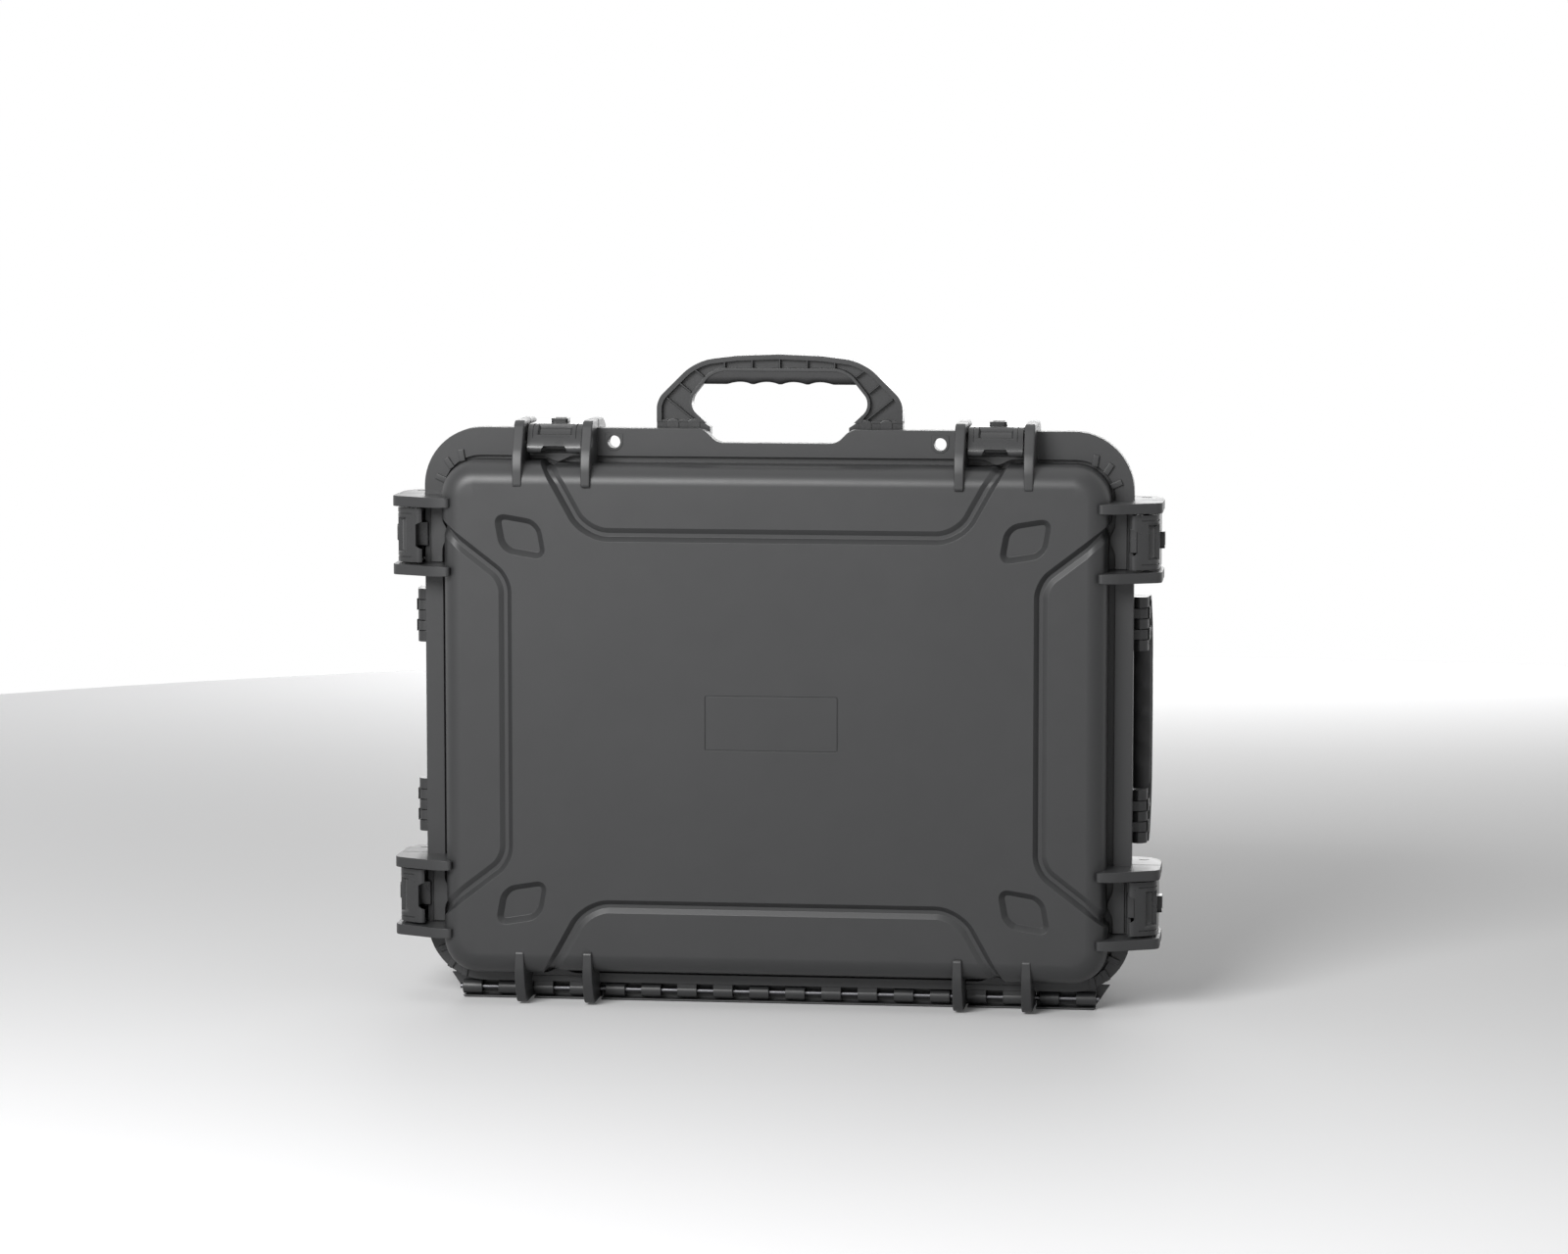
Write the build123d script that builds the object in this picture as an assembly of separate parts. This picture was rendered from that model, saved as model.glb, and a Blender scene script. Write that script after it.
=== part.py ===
"""Hard case with a hinged lid, six press-and-pull latches and three folding handles.

The case stands on its hinge side: X runs along the hinge, Z is up and the lid faces -Y.
The working frame has the parting plane at Y = 0 and the floor at Z = 0.  All sizes are mm.
"""
from build123d import *
import math
import os

# ---- shells -------------------------------------------------------------------------------
body_width = 507.0          # outside of the moulded walls
body_height = 392.0
body_corner = 34.0
side_margin = 16.5          # rim beyond the body wall at the sides
top_margin = 24.0           # and on the handle side
bottom_margin = 10.0        # and on the hinge side
flange_corner = 45.0
flange_thickness = 6.4      # of each shell's rim plate
body_edge = 14.0            # rounding between the walls and the face
lid_depth = 41.0            # parting plane to lid face
base_depth = 139.0          # parting plane to the base's back
floor_to_flange = 14.0      # room for the hinge barrel under the rim
relief_step = 2.1           # each of the two steps of the moulded relief
wall_thinnest = 2.8         # left behind the deepest groove
parting_gap = 0.3
running_gap = 0.3           # between pieces that move past each other

# ---- relief of the lid face ---------------------------------------------------------------
top_panel_inset = 59.5      # body wall to the panel's straight line
top_panel_corner = 109.3    # body side to the corner of that line
top_panel_slant = 61.0      # slanted ends, from the straight line
top_panel_radius = 34.0
side_panel_inset = 56.0
side_panel_corner = 86.0
side_panel_slant = 52.4
side_panel_radius = 26.0
groove_steep = 3.7          # widths across the groove: steep side, floor, shallow side
groove_floor = 2.8
groove_shallow = 3.8
pad_inset_x = 62.5          # body side to the middle of a corner pad
pad_inset_z = 56.1
pad_long = 36.3             # sides of the slanted corner pads
pad_short = 31.0
pad_angle_long = -9.5
pad_angle_short = -79.8
pad_radius = 6.0
pad_slope = 3.8             # width of a pad's sloped wall
pad_depth = 2.0
plate_width = 101.0         # place for a name plate, left bare
plate_height = 42.0
plate_line = 0.7
plate_depth = 0.5

# ---- rim details --------------------------------------------------------------------------
hand_cut_width = 112.0      # finger cut-out in the rim under the top handle
hand_cut_depth = 10.5
padlock_radius = 4.75
padlock_drop = 10.4         # rim edge to hole centre
padlock_from_latch = 43.0
seal_width = 5.0
seal_depth = 4.0

# ---- latch ears and latches ---------------------------------------------------------------
top_latch_inset = 86.5      # body side to latch centre
side_latch_inset = 57.5     # body top or bottom to latch centre
ear_pitch = 50.7            # between the two ears of a pair
ear_thickness = 7.0
ear_proud = 1.0             # ears stand proud of the lid face
ear_tip = 19.0              # how far an ear runs in over the lid face
ear_lean = 0.47             # lean of the ear's front edge
ear_back = 42.0             # depth of the base ears
top_ear_reach = 34.5        # outward from the body wall
side_ear_reach = 38.5
top_catch_height = 10.0     # body wall to the cut-down rim edge under a top latch
lever_width = 41.0
lever_wall = 2.5
lever_front = 27.3
lever_height = 18.5
pivot_depth = 28.0          # latch pivot behind the parting plane
pivot_height = 8.0          # latch pivot outside the rim edge
pivot_radius = 2.0
lever_end_radius = 11.5
claw_width = 18.0
claw_axis_depth = 8.5       # claw pin in front of the parting plane
claw_axis_height = 12.0
claw_pin_radius = 1.5
claw_hub_radius = 3.2
claw_bite = 3.0             # overlap of the claw's tip on the rim
claw_thickness = 3.2
button_width = 13.0
button_length = 15.0
button_proud = 3.3
button_lip = 2.0
button_place = 7.5          # behind the parting plane
pin_clearance = 0.05
spring_radius = 2.6
spring_wire = 0.4
spring_turns = 4

# ---- hinge --------------------------------------------------------------------------------
hinge_height = 8.0          # hinge axis above the floor
barrel_radius = 5.6
hinge_rod_radius = 2.0
hinge_groups = 9            # alternating base and lid knuckle groups
hinge_inset = 20.0          # rim end to the end of the hinge
knuckle_share = 0.27        # of a group's length, two knuckles in each group
lid_web_depth = 5.1         # thinner than the rim, to clear the apron's lip when open
foot_clearance = 6.4        # round the barrels, for the lid's ears to swing in
lid_foot_clearance = 1.2
lid_foot_lift = 1.5         # lid ears on the hinge side end above the floor
apron_thickness = 2.0
apron_taper = 12.0

# ---- handles ------------------------------------------------------------------------------
handle_ear_gap = 15.75      # side handle to the latch ears beside it
handle_rise = 59.2          # pivot to the top of the bow
handle_shoulder = 54.0
handle_shoulder_inset = 29.9
handle_waist = 24.3
handle_depth = 15.0
handle_axis_depth = 19.0    # pivot behind the parting plane
handle_axis_height = 20.5   # pivot outside the body wall
handle_foot_width = 40.9
handle_hand_inset = 34.6
handle_hand_rise = 36.8
handle_neck_inset = 22.9
handle_neck_rise = 22.0
handle_web = 4.0
handle_rim = 4.0
handle_rib = 1.3
handle_rib_pitch = 21.3
grip_height = 9.6
grip_end_inset = 2.3
grip_depth = 20.0
scallop_pitch = 20.4
scallop_depth = 1.3
scallop_count = 4
handle_knuckle = 8.0
handle_barrel_radius = 6.5
handle_pin_radius = 2.5

# ---- inside -------------------------------------------------------------------------------
foam_gap = 0.5
lid_foam_thickness = 22.0
base_pad_thickness = 20.0
foam_border_x = 54.0        # foam left round the laptop pocket and the slot
foam_border_z = 16.5
pocket_depth = 62.0
pocket_radius = 14.0
slot_width = 58.0           # accessory slot beside the pocket
slot_wall = 18.0

# ---- pressure valve and rear feet ---------------------------------------------------------
valve_radius = 12.0
valve_bore = 7.0
valve_height = 4.5
valve_clearance = 13.0      # valve axis to the foam behind it
foot_depth = 34.0
foot_set_back = 12.0        # from the base's back edge rounding

# ---- derived places -----------------------------------------------------------------------
flange_width = body_width + 2 * side_margin
flange_height = body_height + top_margin + bottom_margin
hinge_length = flange_width - 2 * hinge_inset
body_z = floor_to_flange + bottom_margin + body_height / 2
flange_z = floor_to_flange + flange_height / 2
cavity_inset = 2 * relief_step + wall_thinnest
top_latch_x = body_width / 2 - top_latch_inset
side_latch_z = body_height / 2 - side_latch_inset
hinge_rise = floor_to_flange - hinge_height
ear_gap = ear_pitch - ear_thickness
front_y = -(lid_depth + ear_proud)
back_y = base_depth + pad_depth
shift_y = -(front_y + back_y) / 2
outer_height = lever_height + 1.0          # lever's outer face above the rim edge
case_top = floor_to_flange + flange_height
handle_half_width = side_latch_z - (ear_pitch + ear_thickness) / 2 - handle_ear_gap
handle_shoulder_half = handle_half_width - handle_shoulder_inset
handle_foot_inner = handle_half_width - handle_foot_width
handle_hand_half = handle_half_width - handle_hand_inset
handle_neck_half = handle_half_width - handle_neck_inset
grip_half_length = handle_hand_half - grip_end_inset
pocket_front = base_depth - cavity_inset - 2 * foam_gap - base_pad_thickness - pocket_depth
valve_depth_place = pocket_front - valve_clearance


def face_plane(y):
    """Plane facing -Y at depth y, with its x along X and its y along Z."""
    return Plane(origin=(0, y, 0), x_dir=(1, 0, 0), z_dir=(0, -1, 0))


def prism(sketch, y0, y1):
    """Straight block of an X-Z sketch between two depths."""
    return extrude(face_plane(y1) * sketch, amount=y1 - y0)


def slope(sketch_a, y_a, sketch_b, y_b):
    """Straight-sided transition between two like sketches."""
    return loft([face_plane(y_a) * sketch_a, face_plane(y_b) * sketch_b], ruled=True)


def side_profile(points, width, at=0.0):
    """Block of a (y, z) outline, centred on x = at."""
    outline = make_face(Polyline(*[(0, y, z) for y, z in points], close=True))
    return Pos(at - width / 2, 0, 0) * extrude(outline, amount=width, dir=(1, 0, 0))


def cylinder_x(radius, length, y, z, at=0.0):
    return Pos(at, y, z) * Rot(0, 90, 0) * Cylinder(radius, length)


def centred(sketch):
    return Pos(0, body_z) * sketch


def four_corners(make):
    """The same feature at all four corners of the face, mirrored."""
    return [make(sx, sz) for sx in (-1, 1) for sz in (-1, 1)]


# ---- relief -------------------------------------------------------------------------------
def panel_sketch(level, half_run, slant, radius, reach, inward):
    """Trapezoid beyond `level`, opening outwards, moved `inward` from its outline."""
    half = half_run - inward * math.tan(math.radians(slant) / 2)
    low = level + inward
    high = reach
    out = half + (high - low) / math.tan(math.radians(slant))
    face = make_face(Polyline((-out, high), (-half, low), (half, low), (out, high), close=True))
    corners = face.vertices().sort_by(Axis.Y)[:2]
    return fillet(corners, radius - inward)


def four_panels(inward):
    top = panel_sketch(body_height / 2 - top_panel_inset, body_width / 2 - top_panel_corner,
                       top_panel_slant, top_panel_radius, body_height / 2 + 15, inward)
    side = panel_sketch(body_width / 2 - side_panel_inset, body_height / 2 - side_panel_corner,
                        side_panel_slant, side_panel_radius, body_width / 2 + 15, inward)
    return [centred(Rot(0, 0, turn) * face) for turn, face in
            ((0, top), (180, top), (90, side), (-90, side))]


def body_form(depth, inset):
    """Plain shell outside, stepped in by `inset` all round, with its face at -depth."""
    face = RectangleRounded(body_width - 2 * inset, body_height - 2 * inset, body_corner - inset)
    block = prism(centred(face), -(depth - inset), 0)
    return fillet(block.faces().sort_by(Axis.Y)[0].edges(), body_edge - inset)


def relief_body(depth):
    """Shell outside with four sunk panels, each bounded by a groove."""
    groove_level = -(depth - 2 * relief_step)
    outside = body_form(depth, 0)
    steep_out = four_panels(-groove_steep / (2 * relief_step))
    steep_in = four_panels(groove_steep)
    for wide, narrow in zip(steep_out, steep_in):
        outside -= slope(wide, -depth - 1, narrow, groove_level)
        outside -= prism(narrow, groove_level - 0.01, 0)
    plateau = body_form(depth, relief_step)
    low = four_panels(groove_steep + groove_floor)
    high = four_panels(groove_steep + groove_floor + 2 * groove_shallow)
    panels = []
    for base_line, top_line in zip(low, high):
        rise = slope(top_line, -depth, base_line, groove_level) + prism(base_line, groove_level, 0)
        panels.append(plateau & rise)
    return outside + body_form(depth, 2 * relief_step) + panels


def pad_sketch(sx, sz, inward):
    """Slanted four-sided pad near one corner of the face."""
    a = math.radians(pad_angle_long)
    b = math.radians(pad_angle_short)
    half_a = Vector(math.cos(a), math.sin(a)) * ((pad_long - 2 * inward) / 2)
    half_b = Vector(math.cos(b), math.sin(b)) * ((pad_short - 2 * inward) / 2)
    points = [half_a + half_b, half_a - half_b, -half_a - half_b, half_b - half_a]
    face = make_face(Polyline(*[(-sx * p.X, sz * p.Y) for p in points], close=True))
    face = fillet(face.vertices(), max(pad_radius - inward, 1.0))
    middle = (sx * (body_width / 2 - pad_inset_x), body_z + sz * (body_height / 2 - pad_inset_z))
    return Pos(*middle) * face


# ---- rim ----------------------------------------------------------------------------------
def latch_places():
    """Name and frame of each latch: x along the rim, y into the case, z outwards."""
    right, left = body_width / 2, -body_width / 2
    top = body_z + body_height / 2
    places = {}
    for name, x in (("top_left", -top_latch_x), ("top_right", top_latch_x)):
        places[name] = (Location((x, 0, top)), top_catch_height, top_ear_reach)
    for name, z in (("upper", body_z + side_latch_z), ("lower", body_z - side_latch_z)):
        places["left_" + name] = (Location((left, 0, z), (0, -90, 0)), side_margin, side_ear_reach)
        places["right_" + name] = (Location((right, 0, z), (0, 90, 0)), side_margin, side_ear_reach)
    return places


def foot_places():
    """Frames of the ears on the hinge side, which the case stands on."""
    bottom = body_z - body_height / 2
    return [Location((x, 0, bottom), (0, 180, 0)) for x in (-top_latch_x, top_latch_x)]


def rim_plate(y0, y1):
    """Rim plate with latch notches, finger cut-out and padlock holes."""
    outline = Pos(0, flange_z) * RectangleRounded(flange_width, flange_height, flange_corner)
    plate = prism(outline, y0, y1)
    notch_height = top_margin - top_catch_height
    for sx in (-1, 1):
        notch = Box(ear_pitch, 4 * flange_thickness, 2 * notch_height)
        plate -= Pos(sx * top_latch_x, (y0 + y1) / 2, case_top) * notch
        x = sx * (top_latch_x - padlock_from_latch)
        hole = Rot(90, 0, 0) * Cylinder(padlock_radius, 4 * flange_thickness)
        plate -= Pos(x, (y0 + y1) / 2, case_top - padlock_drop) * hole
    half = hand_cut_width / 2
    cut = make_face(Polyline((-half - 5, 5), (-half + hand_cut_depth, -hand_cut_depth),
                             (half - hand_cut_depth, -hand_cut_depth), (half + 5, 5), close=True))
    cut = fillet(cut.vertices().sort_by(Axis.Y)[:2], 5)
    return plate - prism(Pos(0, case_top) * cut, y0 - 1, y1 + 1)


def lid_ear(reach):
    """Side outline of a lid ear as (y, z), with z outwards from the body wall."""
    face = -(lid_depth + ear_proud)
    top = face + ear_lean * reach
    inner = -4.0
    return [(face, -ear_tip), (face, 0), (top, reach), (-parting_gap, reach),
            (-parting_gap, inner), (-lid_depth + 4, inner), (-lid_depth + 4, -ear_tip)]


def base_ear(reach):
    inner = -4.0
    return [(0, inner), (0, reach), (24, reach), (ear_back - 5, reach - 6),
            (ear_back, reach - 16), (ear_back + 4, inner)]


def ear_pair(outline):
    return [side_profile(outline, ear_thickness, at=s * ear_pitch / 2) for s in (-1, 1)]


def catch_strip(catch_height):
    """Raised strip on the lid rim under a latch, with its lower line bent to a shallow V."""
    half = ear_gap / 2
    top = catch_height - 5.0
    outline = make_face(Polyline((-half, top), (-half, 2.5), (-half + 8, 2.5), (0, -1),
                                 (half - 8, 2.5), (half, 2.5), (half, top), close=True))
    strip = extrude(face_plane(-flange_thickness) * outline, amount=2.5)
    rail = Pos(0, -flange_thickness - 0.6, catch_height - 4.2) * Box(2 * half, 1.2, 1.0)
    return strip + rail


# ---- hinge --------------------------------------------------------------------------------
def knuckles(for_lid):
    """Barrels with their webs, in alternating groups, for one of the two shells."""
    pitch = hinge_length / hinge_groups
    length = pitch * knuckle_share
    out = []
    for group in range(hinge_groups):
        if (group % 2 == 1) != for_lid:
            continue
        middle = (group + 0.5) * pitch - hinge_length / 2
        for side in (-1, 1):
            x = middle + side * pitch / 4
            depth = -1 if for_lid else 1
            web_depth = (lid_web_depth if for_lid else flange_thickness) - parting_gap
            web_y = depth * (parting_gap + web_depth / 2)
            web = Pos(x, web_y, (hinge_height + floor_to_flange) / 2 + 1) * Box(
                length, web_depth, hinge_rise + 2)
            out.append(cylinder_x(barrel_radius, length, 0, hinge_height, x) + web)
    return out


def hinge_apron():
    """Plate behind the barrels with a lip under them, part of the base."""
    half = hinge_length / 2 + 4
    inner = barrel_radius + 2 * running_gap
    plate_top = floor_to_flange + 4
    outline = make_face(Polyline((-half, plate_top), (-half + apron_taper, 0),
                                 (half - apron_taper, 0), (half, plate_top), close=True))
    plate = prism(outline, inner, inner + apron_thickness)
    low = make_face(Polyline((-half + apron_taper - 1.5, 1.6), (-half + apron_taper, 0),
                             (half - apron_taper, 0), (half - apron_taper + 1.5, 1.6), close=True))
    return [plate, prism(low, -barrel_radius + 1, inner + 0.5)]


def hinge_clearance(radius):
    return cylinder_x(radius, flange_width, 0, hinge_height)


# ---- shells -------------------------------------------------------------------------------
def cavity_sketch(extra=0.0):
    inset = cavity_inset + extra
    return centred(RectangleRounded(body_width - 2 * inset, body_height - 2 * inset,
                                    body_corner - inset))


def seal_path(width):
    """Ring centred on the body wall, where the seal lies."""
    outer = RectangleRounded(body_width + width, body_height + width, body_corner + width / 2)
    inner = RectangleRounded(body_width - width, body_height - width, body_corner - width / 2)
    return centred(outer - inner)


def lid_form():
    """Lid outside as a filled block."""
    form = relief_body(lid_depth)
    for cut in four_corners(lambda sx, sz: slope(
            pad_sketch(sx, sz, -pad_slope / pad_depth), -lid_depth - 1,
            pad_sketch(sx, sz, pad_slope), -lid_depth + pad_depth)):
        form -= cut
    plate = RectangleRounded(plate_width, plate_height, 2)
    plate -= RectangleRounded(plate_width - 2 * plate_line, plate_height - 2 * plate_line, 1.4)
    return form - prism(centred(plate), -lid_depth - 1, -lid_depth + plate_depth)


def on_wall(piece, *around):
    """The part of a piece that stands outside what it grows from, as one solid."""
    for other in around:
        piece -= other
    return piece.solids().sort_by(SortBy.VOLUME)[-1]


def lid_pieces():
    form = lid_form()
    rim = rim_plate(-flange_thickness, -parting_gap) - form
    foot_reach = bottom_margin + floor_to_flange - lid_foot_lift
    clear = hinge_clearance(barrel_radius + lid_foot_clearance)
    rooted = rim + knuckles(True) - hinge_clearance(hinge_rod_radius + pin_clearance)
    ears, catches = [], []
    for place, catch, reach in latch_places().values():
        ears += [place * ear for ear in ear_pair(lid_ear(reach))]
        catches.append(place * catch_strip(catch))
    for place in foot_places():
        ears += [place * ear - clear for ear in ear_pair(lid_ear(foot_reach))]
        catches.append(place * catch_strip(bottom_margin))
    shell = form - prism(cavity_sketch(), -(lid_depth - cavity_inset), 0)
    return {"lid_shell": shell, "lid_rim": rooted,
            "lid_ears": Compound(children=[on_wall(ear, form, rim) for ear in ears]),
            "lid_catches": Compound(children=[on_wall(strip, form) for strip in catches])}


def handle_brackets():
    """Two pairs of knuckles on a body wall, in the handle's frame."""
    out = []
    for side in (-1, 1):
        middle = side * (handle_half_width + handle_foot_inner) / 2
        for step in (-1, 1):
            x = middle + step * handle_knuckle
            width = handle_knuckle - 2 * running_gap
            stem_height = handle_axis_height + 5
            stem = Pos(x, handle_axis_depth, -stem_height / 2) * Box(
                width, 2 * handle_barrel_radius, stem_height)
            out.append(stem + cylinder_x(handle_barrel_radius, width, handle_axis_depth, 0, x))
    return out


def handle_places():
    """Frames of the handles: origin on the pivot line, z outwards, x along the bow."""
    out = body_width / 2 + handle_axis_height
    top = body_z + body_height / 2 + handle_axis_height
    return {"top": Location((0, 0, top)),
            "left": Location((-out, 0, body_z), (0, -90, 0)),
            "right": Location((out, 0, body_z), (0, 90, 0))}


def rear_foot():
    """Foot near the base's back, in line with the ears on the hinge side."""
    reach = bottom_margin + floor_to_flange
    back = base_depth - foot_set_back
    front = back - foot_depth
    return [(front - 6, -4), (front, reach), (back, reach), (back + 4, -4)]


def base_form():
    """Base outside as a filled block, with pads that nest in the lid of another case."""
    pads = four_corners(lambda sx, sz: slope(
        pad_sketch(sx, sz, pad_slope / 2), base_depth - 1, pad_sketch(sx, sz, pad_slope), back_y))
    return mirror(relief_body(base_depth), about=Plane.XZ) + pads


def base_pieces():
    form = base_form()
    plate = rim_plate(0, flange_thickness) - form
    seal = prism(seal_path(seal_width), -1, seal_depth)
    apron = hinge_apron()
    for place in foot_places():
        for side in (-1, 1):
            gap = Pos(place.position.X + side * ear_pitch / 2, 0, 0) * Box(
                ear_thickness + 3, 4 * barrel_radius + 2, 3 * floor_to_flange)
            apron = [piece - gap for piece in apron]
    rim = plate + apron - seal + knuckles(False)
    rim -= hinge_clearance(hinge_rod_radius + pin_clearance)
    ears = []
    for place, catch, reach in latch_places().values():
        hole = cylinder_x(pivot_radius + pin_clearance, ear_pitch + ear_thickness + 2,
                          pivot_depth, catch + pivot_height)
        ears += [place * (ear - hole) for ear in ear_pair(base_ear(reach))]
    clear = hinge_clearance(barrel_radius + foot_clearance)
    feet = []
    for place in foot_places():
        feet += [place * ear - clear for ear in ear_pair(base_ear(bottom_margin + floor_to_flange))]
        feet += [place * ear for ear in ear_pair(rear_foot())]
    pin_hole = cylinder_x(handle_pin_radius + pin_clearance, 2 * handle_half_width + 4,
                          handle_axis_depth, 0)
    brackets = [place * (piece - pin_hole) for place in handle_places().values()
                for piece in handle_brackets()]
    shell = form - prism(cavity_sketch(), -1, base_depth - cavity_inset) - seal
    shell -= Pos(0, valve_depth_place, body_z + body_height / 2) * Cylinder(
        valve_bore, 4 * cavity_inset)
    return {"base_shell": shell, "base_rim": rim,
            "base_ears": Compound(children=[on_wall(ear, form, plate) for ear in ears]),
            "base_feet": Compound(children=[on_wall(foot, form, plate) for foot in feet]),
            "handle_brackets": Compound(children=[on_wall(piece, form) for piece in brackets])}


def gasket():
    """Seal ring in the groove of the base rim."""
    return prism(seal_path(seal_width - 0.4), 0.05, seal_depth)


def hinge_rod():
    return cylinder_x(hinge_rod_radius, hinge_length - 8, 0, hinge_height)


# ---- latch, in its own frame with z = 0 on the rim edge -----------------------------------
def lever():
    """Curved cover that hooks over the rim, with its claw inside."""
    front, out = -lever_front, outer_height
    end = (pivot_depth, pivot_height)
    lines = [Line((0, front, 1), (0, front + 5.5, out - 7)),
             ThreePointArc((0, front + 5.5, out - 7), (0, front + 8.6, out - 2.1),
                           (0, front + 15, out)),
             Line((0, front + 15, out), (0, end[0], out)),
             ThreePointArc((0, end[0], out), (0, end[0] + lever_end_radius, end[1]),
                           (0, end[0], end[1] - lever_end_radius)),
             Line((0, end[0], end[1] - lever_end_radius), (0, end[0] - 12, 1)),
             Line((0, end[0] - 12, 1), (0, front, 1))]
    outline = make_face(Wire(lines))
    body = Pos(-lever_width / 2, 0, 0) * extrude(outline, amount=lever_width, dir=(1, 0, 0))
    wall = lever_wall
    hollow = [(front + wall + 0.4, -6), (front + wall + 5, out - 7.5), (front + wall + 8, out - 4),
              (front + wall + 13, out - wall), (pivot_depth - 9, out - wall),
              (pivot_depth - 9, -6)]
    body -= side_profile(hollow, lever_width - 2 * wall)
    body += finger_scoop_block()
    body -= finger_scoop()
    body -= hook_window()
    body -= cylinder_x(pivot_radius + 2 * pin_clearance, lever_width + 2, *end)
    body -= cylinder_x(claw_pin_radius + pin_clearance, lever_width + 2,
                       -claw_axis_depth, claw_axis_height)
    opening = Box(button_width + 2 * running_gap, button_length + 2 * running_gap, 4 * wall)
    return body - Pos(0, button_place, out) * opening


def finger_scoop_block():
    """Thicker front edge that the finger scoop is sunk into."""
    front, out = -lever_front, outer_height
    outline = [(front + 3, 8), (front + 5.5, out - 6), (front + 12, out - 1), (front + 14, out - 1),
               (front + 14, 11), (front + 8, 8)]
    return side_profile(outline, lever_width - 6)


def finger_scoop():
    """Rounded recess for a finger tip, across the lever's front edge."""
    scoop = Box(27.5, 9, 6.5)
    scoop = fillet(scoop.edges().filter_by(Axis.Y), 2.6)
    return Pos(0, -lever_front + 3.4, outer_height - 6.6) * Rot(-28, 0, 0) * scoop


def hook_window():
    """Cut in the lever's lower front edge that shows the claw."""
    face = make_face(Polyline((-9.8, 0), (-7.6, 5.4), (7.6, 5.4), (9.8, 0), close=True))
    return extrude(face_plane(-lever_front + 6) * face, amount=12)


def claw():
    """Hook that grips the lid rim and is tipped off it by the button."""
    back = -flange_thickness - running_gap
    front = back - claw_thickness
    axis_y, axis_z = -claw_axis_depth, claw_axis_height
    hook = [(front, axis_z), (front, -claw_bite), (back, -claw_bite), (back, axis_z)]
    boss_clear = outer_height - lever_wall - running_gap - 1.4 - 1.6
    tail_top = boss_clear - 2 * running_gap
    tail = [(axis_y, tail_top), (button_place + 3.5, tail_top),
            (button_place + 3.5, tail_top - 2.4), (axis_y, axis_z - 2.4)]
    body = side_profile(hook, claw_width) + side_profile(tail, claw_width - 6)
    body += cylinder_x(claw_hub_radius, claw_width, axis_y, axis_z)
    return body - cylinder_x(claw_pin_radius + 2 * pin_clearance, claw_width + 2, axis_y, axis_z)


def button():
    """Release button with the lip that keeps it in and the boss that tips the claw."""
    out = outer_height
    lip_top = out - lever_wall - running_gap
    lip = Box(button_width + 2 * button_lip, button_length + button_lip, 1.4)
    head_height = out + button_proud - lip_top + 1.4
    head = Box(button_width, button_length, head_height)
    head = fillet(head.edges().filter_by(Axis.Z), 2.0)
    head = fillet(head.faces().sort_by(Axis.Z)[-1].edges(), 0.8)
    boss = Box(button_width - 4, 3, 1.6)
    body = Pos(0, button_place, lip_top - 0.7) * lip
    body += Pos(0, button_place, lip_top - 1.4 + head_height / 2) * head
    return body + Pos(0, button_place, lip_top - 1.4 - 0.8) * boss


def latch_spring():
    """Coil round the claw pin, beside the claw."""
    pitch = 2 * spring_wire + 0.35
    coil = Helix(pitch=pitch, height=spring_turns * pitch, radius=spring_radius)
    start = Plane(origin=coil @ 0, z_dir=coil % 0)
    wire = sweep(start * Circle(spring_wire), path=coil)
    return Pos(claw_width / 2 + 1.2, -claw_axis_depth, claw_axis_height) * Rot(0, 90, 0) * wire


def latch_pieces():
    return {"lever": lever(), "claw": claw(), "button": button(), "spring": latch_spring(),
            "claw_pin": cylinder_x(claw_pin_radius, lever_width - 0.6,
                                   -claw_axis_depth, claw_axis_height)}


def pivot_pin():
    return cylinder_x(pivot_radius, ear_pitch + ear_thickness - 0.4, pivot_depth, pivot_height)


# ---- handle, in its own frame with z = 0 on the pivot line --------------------------------
def handle_outline(inward=0.0):
    half, waist = handle_half_width, handle_waist
    shoulder = (handle_shoulder_half, handle_shoulder)
    bow = [Line((-half, -handle_barrel_radius), (-half, waist)),
           Line((-half, waist), (-shoulder[0], shoulder[1])),
           ThreePointArc((-shoulder[0], shoulder[1]), (0, handle_rise), shoulder),
           Line(shoulder, (half, waist)),
           Line((half, waist), (half, -handle_barrel_radius)),
           Line((half, -handle_barrel_radius), (-half, -handle_barrel_radius))]
    face = make_face(Wire(bow))
    upper = [v for v in face.vertices() if v.Y > 0]
    face = fillet(upper, 12)
    face -= hand_opening()
    return offset(face, amount=-inward, kind=Kind.INTERSECTION) if inward else face


def hand_opening():
    """Opening for the fingers, open at the bottom between the feet."""
    points = [(handle_foot_inner, 4), (handle_neck_half, handle_neck_rise),
              (handle_hand_half, handle_hand_rise)]
    low = (handle_foot_inner, -handle_barrel_radius - 3)
    right = [low] + points
    left = [(-x, y) for x, y in reversed(right)]
    face = make_face(Polyline(*right, *left, close=True))
    necks = [v for v in face.vertices() if abs(v.X) > handle_hand_half + 1]
    face = fillet(necks, 9)
    hands = [v for v in face.vertices() if v.Y > handle_hand_rise - 0.5]
    return fillet(hands, 4)


def handle_ribs():
    """Thin cross ribs in the web, upright on the bow and slanted on the legs."""
    upright = Rectangle(handle_rib, 2 * (handle_rise - handle_hand_rise))
    ribs = [Pos(step * handle_rib_pitch, handle_rise - 10) * upright for step in range(-2, 3)]
    for side in (-1, 1):
        for inset, y, turn in ((32.9, 48, 42), (23.9, 34, 42), (17.9, 17, 38)):
            place = Pos(side * (handle_half_width - inset), y) * Rot(0, 0, side * turn)
            ribs.append(place * Rectangle(handle_rib, handle_rise))
    return ribs


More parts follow.
